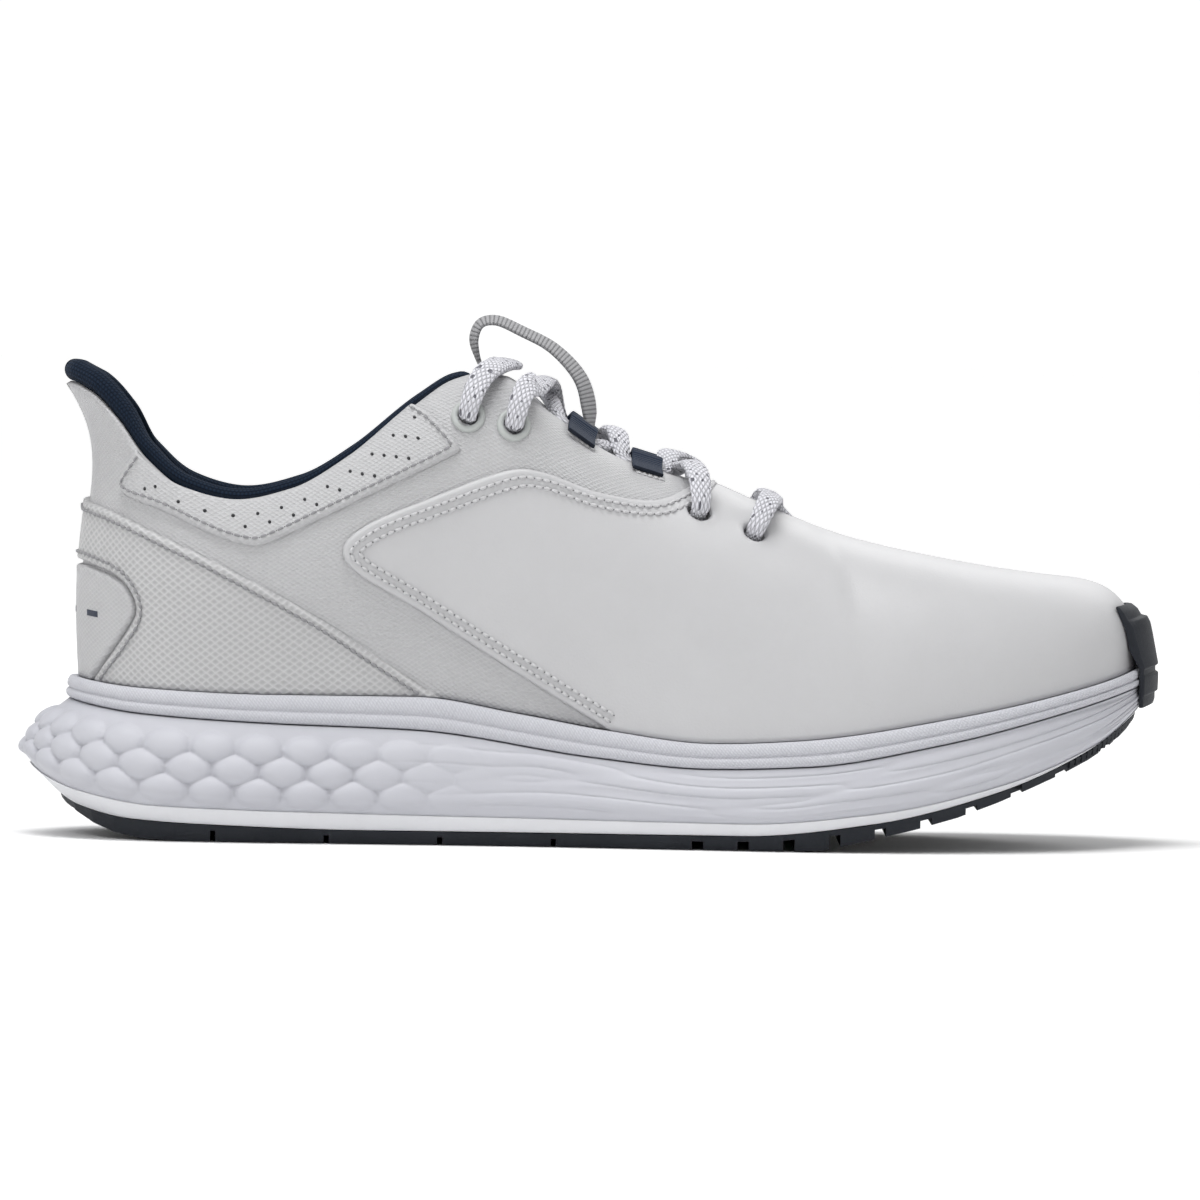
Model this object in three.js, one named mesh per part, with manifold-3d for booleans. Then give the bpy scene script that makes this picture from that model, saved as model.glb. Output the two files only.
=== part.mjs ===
// Spikeless golf shoe, right foot. Millimetres, +X to the toe, +Z up, -Y the outer side of the foot.
// The origin is on the ground below the middle of the shoe's length.
import * as THREE from 'three';
import Module from 'manifold-3d';
import { mergeVertices } from 'three/addons/utils/BufferGeometryUtils.js';

const wasm = await Module();
wasm.setup();

// ---- Driving dimensions ----
const UPPER_LENGTH = 283.5; // heel to toe at the feather line, where the upper meets the sole
const UPPER_WIDTH = 1; // width of the last against the standard fitting
const COLLAR_HEIGHT = 81; // heel collar above the feather line
const GAP = 0.3; // clearance between neighbouring pieces
const OVERLAY = 1.2; // thickness of the sewn-on panels
const QUARTER = 1.5; // thickness of the quarters
const STIFFENER = 1.1; // thickness of the heel counter and the toe puff
const LINING = 1.2; // thickness of the lining
const COLLAR_ROLL_R = 2.9; // radius of the padded roll round the collar
const FOXING_OUT = 3; // how far the foxing stands out from the feather line
const BOARD = 2; // thickness of the insole board
const SOCKLINER = 4; // thickness of the removable sockliner
const OUTSOLE_BASE = 1.4; // thickness of the rubber sheet between the lugs
const LACE_R = 1.9;
const EYELET_EASE = 1.25; // room round the lace in an eyelet's hole, where it bends
const EYELET_RIM = 1.35; // width of an eyelet's ring
const EYELET_RING_HEIGHT = 0.8;
const LOOP_EASE = 0.2; // room round the lace in a webbing loop, on top of the clearance
const LOOP_WIDTH = 7.6; // width of the webbing lace loops
const LOOP_WALL = 1; // thickness of that webbing
const TONGUE = 4; // thickness of the padded tongue
const PULL_WIDTH = 8; // width of the tongue's pull ribbon
const PULL_WALL = 1.2; // thickness of that ribbon

const EYELET_HOLE_R = LACE_R + EYELET_EASE;
const EYELET_RING_R = EYELET_HOLE_R + EYELET_RIM;

// Depths below the outer surface, from the outside in.
const QUARTER_OUT = -OVERLAY - GAP;
const QUARTER_IN = QUARTER_OUT - QUARTER;
const STIFFENER_OUT = QUARTER_IN - GAP;
const STIFFENER_IN = STIFFENER_OUT - STIFFENER;
const LINING_OUT = STIFFENER_IN - GAP;
const LINING_IN = LINING_OUT - LINING;
const LACE_UNDER = QUARTER_IN - GAP - LACE_R; // centre of the lace where it runs under the eyestay
const TONGUE_TOP = LACE_UNDER - LACE_R - GAP;

const LENGTH_SCALE = UPPER_LENGTH / 283.5;
const COLLAR_SCALE = COLLAR_HEIGHT / 81;
const STATIONS = 12; // stations from the heel, 0, to the toe, 12
const HEEL_X = -138;

// ---- Curves ----

// A smooth function of one variable through a few [position, value, ...] rows, without overshoot.
function through(rows, column = 1) {
  const at = rows.map((row) => row[0]);
  const value = rows.map((row) => row[column]);
  const slope = at.slice(1).map((x, i) => (value[i + 1] - value[i]) / (x - at[i]));
  const tangent = at.map((x, i) => {
    if (i === 0) return slope[0];
    if (i === at.length - 1) return slope[i - 1];
    if (slope[i - 1] * slope[i] <= 0) return 0;
    return (2 * slope[i - 1] * slope[i]) / (slope[i - 1] + slope[i]);
  });
  return (x) => {
    const place = THREE.MathUtils.clamp(x, at[0], at[at.length - 1]);
    let i = 0;
    while (i < at.length - 2 && place > at[i + 1]) i += 1;
    const width = at[i + 1] - at[i];
    const t = (place - at[i]) / width;
    const from = (1 + 2 * t) * (1 - t) ** 2 * value[i] + t * (1 - t) ** 2 * width * tangent[i];
    return from + t * t * (3 - 2 * t) * value[i + 1] + t * t * (t - 1) * width * tangent[i + 1];
  };
}

const alongX = (x) => HEEL_X + (x - HEEL_X) * LENGTH_SCALE;
const stretchX = (rows) => rows.map(([x, ...rest]) => [alongX(x), ...rest]);

// Heights along the shoe: x, z.
const featherZ = through(stretchX([
  [-150, 44], [-120, 40.2], [-85, 39], [-47, 39], [-20, 35], [5, 30.8],
  [31, 28], [53, 29], [96, 35.6], [134, 44.2], [152, 50],
]));
const grooveZ = through(stretchX([
  [-150, 38], [-120, 33.4], [-85, 31.4], [-47, 30.2], [0, 23.8],
  [30, 21.3], [57, 22.3], [91, 28.2], [125, 36.8], [152, 45],
]));
const rimTopZ = through(stretchX([
  [-152, 19.6], [-146, 16.2], [-136, 12.7], [-116, 9.4], [-80, 8.3], [-20, 7.5],
  [40, 7.1], [74, 10.1], [108, 17.8], [134, 28.4], [150, 41],
]));
const rimBottomZ = through(stretchX([
  [-150, 17], [-142.6, 11.4], [-136, 8.4], [-122, 5.6], [-99, 4.5], [-60, 3.6],
  [40, 3.9], [74, 7.5], [106, 15.6], [130, 25.8], [150, 39.5],
]));
const treadZ = through(stretchX([
  [-145, 14], [-140, 8.5], [-130, 2.9], [-122, 0.7], [-113, 0], [58, 0],
  [71, 2.6], [97, 9.4], [113, 15.6], [134, 25.3], [150, 37.5],
]));

// The feather line in plan, one row for each station: outer x, outer y, inner x, inner y.
const FEATHER = [
  [-138, 0, -138, 0],
  [-132, -18, -132, 18],
  [-118, -29, -118, 28.5],
  [-95, -33.5, -95, 31.5],
  [-60, -34.5, -60, 29.5],
  [-20, -37, -20, 30],
  [20, -43, 20, 36.5],
  [55, -48, 55, 44.5],
  [85, -47, 85, 47.5],
  [112, -39, 112, 43.5],
  [132, -25, 132, 33.5],
  [142.5, -9, 142.5, 20],
  [145.5, 6, 145.5, 6],
];
const inPlan = (x, y) => new THREE.Vector3(alongX(x), y * UPPER_WIDTH, 0);
const outerLine = FEATHER.map((row) => inPlan(row[0], row[1]));
const innerLine = FEATHER.slice(1, -1).reverse().map((row) => inPlan(row[2], row[3]));
const featherLoop = new THREE.CatmullRomCurve3([...outerLine, ...innerLine], true);
const loopPlace = (station, side) => (side < 0 ? station : 2 * STATIONS - station) / (2 * STATIONS);

// A point on the feather line moved outwards in plan, on the shoe's outer side, -1, or its inner side, +1.
function featherPoint(station, side, out = 0) {
  const place = loopPlace(station, side) % 1;
  const point = featherLoop.getPoint(place);
  const step = 0.002;
  const ahead = featherLoop.getPoint((place + step) % 1);
  const behind = featherLoop.getPoint((place + 1 - step) % 1);
  const along = ahead.sub(behind).normalize();
  return new THREE.Vector3(point.x + along.y * out, point.y - along.x * out, 0);
}

// The top line: station, x, half width, z. It runs round the collar, down the throat, then along the ridge.
const THROAT_END = 7.6;
const TOP_LINE = [
  [0, -143.3, 0, 119.4],
  [0.5, -141.6, 6.5, 119.2],
  [1, -136.8, 12.5, 117.1],
  [1.5, -129.5, 18, 110.8],
  [2, -120.5, 23, 100.9],
  [2.5, -109.5, 27.5, 93.5],
  [3, -95, 30, 90.3],
  [3.5, -80.5, 31, 93.4],
  [4, -65.5, 30.5, 102.2],
  [4.5, -48.6, 27.5, 116.6],
  [4.8, -38, 25, 123.9],
  [5, -31, 23.5, 125.6],
  [5.2, -24, 21.5, 124.8],
  [5.5, -11, 18.5, 115.1],
  [6, 6.8, 15.5, 103.8],
  [6.5, 28, 13, 97.2],
  [7, 45, 10.5, 90],
  [7.4, 54.5, 5.5, 86.2],
  [THROAT_END, 57.5, 0, 85],
  [8, 66, 0, 82],
  [9, 84, 0, 77.5],
  [10, 101, 0, 74.3],
  [11, 114, 0, 72.6],
  [12, 119, 0, 72.1],
];
const topX = through(TOP_LINE, 1);
const topHalf = through(TOP_LINE, 2);
const topZ = through(TOP_LINE, 3);
const spineY = through(stretchX([[-140, 0], [-60, -1.5], [0, -2], [60, -0.5], [100, 3], [140, 6]]));
// How round a section is, from a straight wall, 0, to a full arch, 1, and how square that arch is.
const roundness = through([[0, 0], [3, 0.1], [4, 0.3], [5, 0.75], [6, 0.85], [8, 1], [12, 1]]);
const squareness = through([[0, 2], [7, 2], [9, 2.2], [12, 3]]);
const sideBulge = through([[0, 0], [1, 0.5], [2, 2.5], [3, 3.5], [5, 5], [6, 5], [8, 2.5], [10, 0], [12, 0]]);
const heelHollow = through([[0, 5.6], [1, 4.5], [2, 1.5], [3, 0], [12, 0]]);

// The outer surface of the upper. height runs from the feather line, 0, to the top line, 1.
function upperPoint(station, height, side) {
  const bulge = sideBulge(station) * Math.sin(Math.PI * height ** 1.5);
  const hollow = heelHollow(station) * Math.sin(Math.PI * height ** 2.6);
  const low = featherPoint(station, side, bulge - hollow);
  const base = featherPoint(station, side);
  const x = alongX(topX(station));
  const baseZ = featherZ(base.x);
  const rise = station < THROAT_END ? COLLAR_SCALE : 1;
  const z = baseZ + (topZ(station) - baseZ) * rise;
  const power = 2 / squareness(station);
  const angle = (Math.PI / 2) * height;
  const round = roundness(station);
  const inward = (1 - round) * height + round * (1 - Math.max(Math.cos(angle), 0) ** power);
  const upward = (1 - round) * height + round * Math.sin(angle) ** power;
  const topY = spineY(x) + side * topHalf(station) * UPPER_WIDTH;
  return new THREE.Vector3(
    low.x + (x - base.x) * inward,
    low.y + (topY - base.y) * inward,
    baseZ + (z - baseZ) * upward,
  );
}

// A point off the outer surface, at a depth (negative) or height (positive) along its normal.
function offSurface(station, height, side, out) {
  const d = 0.02;
  const top = Math.min(height, 1 - 2 * d);
  const along = upperPoint(station + d, top, side).sub(upperPoint(station - d, top, side));
  const up = upperPoint(station, top + d, side).sub(upperPoint(station, top - d, side));
  const normal = along.cross(up).normalize().multiplyScalar(-side);
  return upperPoint(station, height, side).addScaledVector(normal, out);
}

// The station and height on the upper that lie at one x and z in side view.
function placeOnUpper(x, z) {
  let best = { station: 5.5, height: 0.85 };
  let reach = 1.6;
  const miss = (place) => {
    const p = upperPoint(place.station, place.height, -1);
    return Math.hypot(p.x - x, p.z - z);
  };
  for (let round = 0; round < 24; round += 1) {
    for (const ds of [-1, 0, 1]) {
      for (const dh of [-1, 0, 1]) {
        const next = {
          station: THREE.MathUtils.clamp(best.station + ds * reach, 0.1, 11.9),
          height: THREE.MathUtils.clamp(best.height + dh * reach * 0.15, 0.02, 0.98),
        };
        if (miss(next) < miss(best)) best = next;
      }
    }
    reach *= 0.72;
  }
  return best;
}

// ---- Solids ----

// A closed body from its points and triangles, with its faces turned outwards.
function closedGeometry(points, triangles) {
  const corner = ([a, b, c]) => points[a].dot(points[b].clone().cross(points[c]));
  const volume = triangles.reduce((sum, triangle) => sum + corner(triangle), 0);
  const faces = volume > 0 ? triangles : triangles.map(([a, b, c]) => [a, c, b]);
  const geometry = new THREE.BufferGeometry();
  const numbers = points.flatMap((p) => [p.x, p.y, p.z]);
  geometry.setAttribute('position', new THREE.Float32BufferAttribute(numbers, 3));
  geometry.setIndex(faces.flat());
  return geometry;
}

function toSolid(geometry) {
  const bare = geometry.clone();
  bare.deleteAttribute('normal');
  bare.deleteAttribute('uv');
  const merged = mergeVertices(bare, 1e-3);
  const index = Array.from(merged.index.array);
  const triVerts = [];
  for (let i = 0; i < index.length; i += 3) {
    const [a, b, c] = index.slice(i, i + 3);
    if (a !== b && b !== c && c !== a) triVerts.push(a, b, c);
  }
  return new wasm.Manifold(new wasm.Mesh({
    numProp: 3,
    vertProperties: new Float32Array(merged.attributes.position.array),
    triVerts: new Uint32Array(triVerts),
  }));
}

function fromSolid(solid) {
  const mesh = solid.getMesh();
  const geometry = new THREE.BufferGeometry();
  geometry.setAttribute('position', new THREE.BufferAttribute(new Float32Array(mesh.vertProperties), 3));
  geometry.setIndex(new THREE.BufferAttribute(new Uint32Array(mesh.triVerts), 1));
  return geometry;
}

// A sheet of triangles given a thickness, closed by walls along its open edges.
function thicken(points, triangles, outer, inner) {
  const key = (p) => [p.x, p.y, p.z].map((v) => Math.round(v * 500)).join();
  const first = new Map();
  points.forEach((p, i) => {
    if (!first.has(key(p))) first.set(key(p), i);
  });
  const shared = points.map((p) => first.get(key(p)));
  const faces = triangles
    .map((t) => t.map((i) => shared[i]))
    .filter(([a, b, c]) => a !== b && b !== c && c !== a);
  const normals = points.map(() => new THREE.Vector3());
  for (const [a, b, c] of faces) {
    const ab = points[b].clone().sub(points[a]);
    const ac = points[c].clone().sub(points[a]);
    const normal = ab.cross(ac);
    [a, b, c].forEach((i) => normals[i].add(normal));
  }
  normals.forEach((n) => n.normalize());
  const shell = [
    ...points.map((p, i) => p.clone().addScaledVector(normals[i], outer)),
    ...points.map((p, i) => p.clone().addScaledVector(normals[i], inner)),
  ];
  const count = points.length;
  const solid = faces.flatMap(([a, b, c]) => [[a, b, c], [c + count, b + count, a + count]]);
  const edges = new Set(faces.flatMap(([a, b, c]) => [`${a},${b}`, `${b},${c}`, `${c},${a}`]));
  for (const edge of edges) {
    const [a, b] = edge.split(',').map(Number);
    if (!edges.has(`${b},${a}`)) solid.push([b, a, a + count], [b, a + count, b + count]);
  }
  return closedGeometry(shell, solid);
}

// A sheet through a grid of rows of points, with its outside on the left of the first row.
function gridSheet(rows, closed = false) {
  const width = rows[0].length;
  const triangles = [];
  const last = closed ? rows.length : rows.length - 1;
  for (let i = 0; i < last; i += 1) {
    const next = (i + 1) % rows.length;
    for (let j = 0; j < width - 1; j += 1) {
      const [a, b] = [i * width + j, next * width + j];
      triangles.push([a, b, b + 1], [a, b + 1, a + 1]);
    }
  }
  return { points: rows.flat(), triangles };
}

function range(from, to, steps) {
  return Array.from({ length: steps + 1 }, (_, i) => from + ((to - from) * i) / steps);
}
const shellHeights = [0, 0.1, 0.22, 0.36, 0.5, 0.64, 0.77, 0.89, 1];
const allStations = [...range(0, 7, 21), 7.3, THROAT_END, ...range(8, 12, 10)];

// A layer of the upper, from one station to another, on one side or right round through heel or toe.
function upperShell({ sides, from = 0, to = STATIONS, low = 0, high = 1, outer, inner }) {
  const stations = allStations.filter((s) => s >= from && s <= to);
  const heights = shellHeights.map((h) => low + (high - low) * h);
  const column = (side) => (s) => heights.map((h) => upperPoint(s, h, side));
  const rows = [];
  if (sides.includes(-1)) rows.push(...stations.map(column(-1)));
  const inside = stations.slice().reverse().map(column(1));
  if (sides.includes(1)) rows.push(...inside);
  const closed = sides.length === 2 && from === 0 && to === STATIONS;
  if (sides.length === 2 && from === 0 && to < STATIONS) {
    const outside = rows.splice(0, stations.length);
    rows.push(...outside);
  }
  const sheet = gridSheet(rows, closed);
  return toSolid(thicken(sheet.points, sheet.triangles, outer, inner));
}

// A prism through the whole width, or through one side of it, with its outline in side view.
function sidePrism(outline, yFrom = -90, yTo = 90) {
  const shape = new THREE.Shape(outline.map(([x, z]) => new THREE.Vector2(x, z)));
  const geometry = new THREE.ExtrudeGeometry(shape, { depth: yTo - yFrom, bevelEnabled: false });
  geometry.rotateX(Math.PI / 2);
  geometry.translate(0, yTo, 0);
  return toSolid(geometry);
}

// A side-view outline on the upper: its points move with the shoe's length and the collar's height.
function onUpper(rows) {
  return rows.map(([x, z]) => {
    const base = featherZ(alongX(x));
    return [alongX(x), base + (z - base) * (z > base ? COLLAR_SCALE : 1)];
  });
}

function smoothOutline(rows, steps) {
  const curve = new THREE.SplineCurve(onUpper(rows).map(([x, z]) => new THREE.Vector2(x, z)));
  return curve.getPoints(steps).map((p) => [p.x, p.y]);
}

// A solid stacked from closed rings that follow the feather line. Each level gives an offset and a height.
const ringStations = range(0, 12, 30);
function ringPoints(offset, height) {
  const outside = ringStations.map((s) => [s, -1]);
  const inside = ringStations.slice(1, -1).reverse().map((s) => [s, 1]);
  return [...outside, ...inside].map(([s, side]) => {
    const p = featherPoint(s, side, offset(s));
    p.z = height(p.x);
    return p;
  });
}

function ringStack(levels) {
  const rings = levels.map(([offset, height]) => ringPoints(offset, height));
  const count = rings[0].length;
  const half = count / 2;
  const triangles = [];
  rings.slice(1).forEach((_, k) => {
    for (let i = 0; i < count; i += 1) {
      const next = (i + 1) % count;
      const [a, b] = [k * count + i, k * count + next];
      triangles.push([a, b, b + count], [a, b + count, a + count]);
    }
  });
  const cap = (start, up) => {
    for (let i = 0; i < half; i += 1) {
      const [a, b] = [start + i, start + i + 1];
      const [c, d] = [start + ((count - i) % count), start + count - i - 1];
      const faces = [];
      if (a !== c) faces.push([a, b, c]);
      if (b !== d) faces.push([b, d, c]);
      faces.forEach((f) => triangles.push(up ? f : [f[0], f[2], f[1]]));
    }
  };
  cap(0, false);
  cap((rings.length - 1) * count, true);
  return toSolid(closedGeometry(rings.flat(), triangles));
}

// A band with the same section all the way round: [offset, height] pairs, in order round the section.
function ringBand(section) {
  const rings = section.map(([offset, height]) => ringPoints(offset, height));
  const count = rings[0].length;
  const triangles = [];
  rings.forEach((_, k) => {
    const other = (k + 1) % rings.length;
    for (let i = 0; i < count; i += 1) {
      const next = (i + 1) % count;
      const [a, b] = [k * count + i, k * count + next];
      const [c, d] = [other * count + i, other * count + next];
      triangles.push([a, b, d], [a, d, c]);
    }
  });
  return toSolid(closedGeometry(rings.flat(), triangles));
}

// A bar swept through a list of sections of equal point count, closed at both ends.
function sweep(sections) {
  const count = sections[0].length;
  const triangles = [];
  sections.slice(1).forEach((_, k) => {
    for (let i = 0; i < count; i += 1) {
      const next = (i + 1) % count;
      const [a, b] = [k * count + i, k * count + next];
      triangles.push([a, b, b + count], [a, b + count, a + count]);
    }
  });
  const last = (sections.length - 1) * count;
  capFaces(sections[0]).forEach(([a, b, c]) => triangles.push([a, c, b]));
  capFaces(sections[sections.length - 1]).forEach((face) => triangles.push(face.map((i) => last + i)));
  return toSolid(closedGeometry(sections.flat(), triangles));
}

// Triangles that fill a section, each turning the same way as the section's own points.
function capFaces(section) {
  const flat = flatten(section);
  const faces = THREE.ShapeUtils.triangulateShape(flat, []);
  const total = faces.reduce((sum, f) => sum + THREE.ShapeUtils.area(f.map((i) => flat[i])), 0);
  const same = total * THREE.ShapeUtils.area(flat) > 0;
  return same ? faces : faces.map(([a, b, c]) => [a, c, b]);
}

// A planar section's points in its own plane.
function flatten(section) {
  const origin = section[0];
  const along = section[1].clone().sub(origin).normalize();
  const middle = section[Math.floor(section.length / 2)].clone().sub(origin);
  const across = middle.addScaledVector(along, -middle.dot(along)).normalize();
  return section.map((p) => {
    const q = p.clone().sub(origin);
    return new THREE.Vector2(q.dot(along), q.dot(across));
  });
}

const group = new THREE.Group();
function addNode(name, solid, color, roughness, metalness = 0) {
  const material = new THREE.MeshStandardMaterial({ color, roughness, metalness });
  const mesh = new THREE.Mesh(solid.isBufferGeometry ? solid : fromSolid(solid), material);
  mesh.name = name;
  group.add(mesh);
}

const WHITE = 0xc9c9cc;
const SOLE_WHITE = 0xd4d5dc;
const NAVY = 0x121c30;
const BLACK = 0x16181c;
const GREY = 0x9a9c9e;

// ---- Sole ----

const plus = (f, d) => (x) => f(x) + d;
const blendOf = (f, g, t) => (x) => f(x) * (1 - t) + g(x) * t;
const always = (value) => () => value;
// How far the midsole stands out from the feather line at its widest.
const flare = through([[0, 13.8], [1, 12], [2, 9.5], [4, 7.5], [6, 6], [8, 5.5], [10, 4], [12, 2.4]]);
const undercut = through([[0, 7.5], [1, 6], [2, 3.5], [3, 2.2], [9, 2.2], [12, 1.2]]);
const waist = through([[0, 2.4], [2, 2.6], [12, 2.2]]);
const CARRIER_LIP = 1.4;

const midsoleTop = plus(grooveZ, -GAP);
const midsole = ringStack([
  [(s) => flare(s) - CARRIER_LIP, plus(rimTopZ, GAP)],
  [flare, blendOf(rimTopZ, grooveZ, 0.16)],
  [(s) => flare(s) * 0.82 + waist(s) * 0.18, blendOf(rimTopZ, grooveZ, 0.45)],
  [(s) => flare(s) * 0.42 + waist(s) * 0.58, blendOf(rimTopZ, grooveZ, 0.78)],
  [waist, midsoleTop],
]);
addNode('midsole', midsole, SOLE_WHITE, 0.6);

const carrier = ringStack([
  [(s) => flare(s) - CARRIER_LIP - undercut(s), rimBottomZ],
  [(s) => flare(s) - CARRIER_LIP, rimTopZ],
]);
addNode('outsole_carrier', carrier, SOLE_WHITE, 0.5);

const baseEdge = (s) => flare(s) - CARRIER_LIP - undercut(s) - GAP;
const outsoleTop = plus(rimBottomZ, -GAP);
const outsoleUnder = plus(rimBottomZ, -GAP - OUTSOLE_BASE);
const treadDepth = (x) => Math.min(treadZ(x), outsoleUnder(x) - 0.2);
const rubber = ringStack([
  [(s) => baseEdge(s) - 1, treadDepth],
  [baseEdge, outsoleTop],
]);
// Grooves between the lugs, cut up to the rubber sheet: cross grooves and two lengthwise ones.
const sheet = ringStack([
  [(s) => baseEdge(s) - 0.6, outsoleUnder],
  [(s) => baseEdge(s), outsoleTop],
]);
const LUG_PITCH = 12;
const HEEL_GROOVE = 1.4;
const TOE_GROOVE = 3;
const grooveBars = [];
const groove = (x, width) => {
  const bar = new THREE.BoxGeometry(width, 150, 60);
  bar.translate(x, 0, 18);
  grooveBars.push(toSolid(bar));
};
[-100, -70, -40, -10].forEach((x) => groove(alongX(x), HEEL_GROOVE));
for (let x = 28; x < 140; x += LUG_PITCH) groove(alongX(x), TOE_GROOVE);
[-13, 14].forEach((y) => {
  const bar = new THREE.BoxGeometry(2 * UPPER_LENGTH, TOE_GROOVE, 60);
  bar.translate(0, y, 18);
  grooveBars.push(toSolid(bar));
});
const lugs = grooveBars.reduce((solid, bar) => solid.subtract(bar), rubber);
addNode('outsole', lugs.add(sheet), BLACK, 0.7);

const FOXING_IN = LINING_IN - 0.6;
const foxing = ringBand([
  [always(FOXING_IN), grooveZ],
  [always(FOXING_OUT - 0.6), grooveZ],
  [always(FOXING_OUT), blendOf(grooveZ, featherZ, 0.35)],
  [always(FOXING_OUT), blendOf(grooveZ, featherZ, 0.7)],
  [always(FOXING_OUT - 1.4), plus(featherZ, -GAP)],
  [always(FOXING_IN), plus(featherZ, -GAP)],
]);
addNode('foxing', foxing, SOLE_WHITE, 0.55);

const boardEdge = always(FOXING_IN - GAP);
addNode('insole_board', ringStack([[boardEdge, grooveZ], [boardEdge, plus(grooveZ, BOARD)]]), 0xb9a888, 0.9);
const linerEdge = always(FOXING_IN - 2 * GAP);
const linerLow = plus(grooveZ, BOARD + GAP);
addNode('sockliner', ringStack([
  [linerEdge, linerLow],
  [linerEdge, plus(grooveZ, BOARD + GAP + SOCKLINER)],
]), NAVY, 0.95);

// ---- Upper ----

const eyelets = [[-34, 113.6], [-21.7, 111.4], [27.5, 89], [42.2, 83.6]].map(([x, z]) => {
  const [[atX, atZ]] = onUpper([[x, z]]);
  return placeOnUpper(atX, atZ);
});

// A round cutter through every layer at one eyelet.
function eyeletCutter(place, side) {
  const inner = offSurface(place.station, place.height, side, QUARTER_IN - 2);
  const outer = offSurface(place.station, place.height, side, 3);
  const cutter = new THREE.CylinderGeometry(EYELET_HOLE_R, EYELET_HOLE_R, outer.distanceTo(inner), 12);
  cutter.applyQuaternion(turnTo(outer.clone().sub(inner)));
  const middle = inner.add(outer).multiplyScalar(0.5);
  cutter.translate(middle.x, middle.y, middle.z);
  return toSolid(cutter);
}

function turnTo(direction) {
  return new THREE.Quaternion().setFromUnitVectors(new THREE.Vector3(0, 1, 0), direction.normalize());
}

const SIDE_NAMES = { [-1]: 'lateral', 1: 'medial' };
const QUARTER_END = 7.3; // station where the quarters end, under the vamp
for (const side of [-1, 1]) {
  const shell = upperShell({ sides: [side], to: QUARTER_END, outer: QUARTER_OUT, inner: QUARTER_IN });
  // The two quarters meet down the back of the heel.
  const seam = new THREE.BoxGeometry(60, 20, 200);
  seam.translate(alongX(HEEL_X), -side * (10 - GAP / 2), 100);
  let quarter = shell.subtract(toSolid(seam));
  eyelets.forEach((place) => {
    quarter = quarter.subtract(eyeletCutter(place, side));
  });
  addNode(`quarter_${SIDE_NAMES[side]}`, quarter, WHITE, 0.55);
}

// The vamp with its saddle: everything in front of this edge in side view.
const VAMP_EDGE = [
  [27, 97.5], [23.9, 95.2], [15, 92], [0.6, 94], [-13.9, 98.9], [-24.3, 98.9], [-45, 91], [-60, 84.4],
  [-66.6, 78], [-63, 71.4], [-45.8, 61.2], [-19.7, 45], [4.7, 30.4], [10, 24],
];
const vampFront = alongX(190);
const vampOutline = [
  ...smoothOutline(VAMP_EDGE, 44),
  [alongX(10), 10],
  [vampFront, 10],
  [vampFront, 140],
  [alongX(38), 140],
];
let vamp = upperShell({ sides: [-1, 1], outer: 0, inner: -OVERLAY }).intersect(sidePrism(vampOutline));
for (const side of [-1, 1]) {
  eyelets.slice(2).forEach((place) => {
    vamp = vamp.subtract(eyeletCutter(place, side));
  });
}
addNode('vamp', vamp, WHITE, 0.42);

// The embossed strap that wraps the heel, cut away at the back for the patch.
const STRAP_TOP = [
  [-160, 91.5], [-137.6, 89.3], [-128, 86], [-113, 79.4], [-98, 72.5],
  [-73.5, 59.6], [-57.5, 49.4], [-38, 37], [-34, 30],
];
const PATCH_EDGE = [
  [-160, 76.5], [-136.4, 72.9], [-128, 69.8], [-123.4, 65.6],
  [-121.7, 59.8], [-125, 53.5], [-131, 45.2], [-134.5, 36],
];
const strapOutline = [...smoothOutline(STRAP_TOP, 16), [alongX(-34), 15], [alongX(-135), 15]];
strapOutline.push(...smoothOutline(PATCH_EDGE, 20).reverse());
const overlay = { outer: 0, inner: -OVERLAY };
const strapShell = upperShell({ sides: [-1, 1], to: 5.4, ...overlay });
addNode('heel_strap', strapShell.intersect(sidePrism(strapOutline)), WHITE, 0.6);
const PATCH_CENTRE = [-152, 58];
const PATCH_SHRINK = 0.96; // leaves the seam between the patch and the strap
const patchOutline = smoothOutline(PATCH_EDGE, 20).map(([x, z]) => {
  const [cx, cz] = onUpper([PATCH_CENTRE])[0];
  return [cx + (x - cx) * PATCH_SHRINK, cz + (z - cz) * PATCH_SHRINK];
});
patchOutline.push([alongX(-160), 15]);
addNode('heel_patch', strapShell.intersect(sidePrism(patchOutline)), WHITE, 0.6);

// The perforated panels below the collar.
const PANEL_EDGE = [
  [-122.5, 103.2], [-127.2, 94.8], [-125.4, 90.9], [-115, 87.2], [-101, 81], [-92.5, 78.6], [-86.8, 79.1],
  [-74.5, 84.9], [-60, 92], [-38.5, 102.6], [-36.4, 105.6], [-43.5, 113.4], [-48.6, 116.6],
];
const panelOutline = [...smoothOutline(PANEL_EDGE, 30), ...onUpper([[-48.6, 140], [-122.5, 140]])];
for (const side of [-1, 1]) {
  const panel = upperShell({ sides: [side], from: 1, to: 5.4, low: 0.4, ...overlay });
  addNode(`collar_panel_${SIDE_NAMES[side]}`, panel.intersect(sidePrism(panelOutline)), WHITE, 0.45);
}

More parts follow.
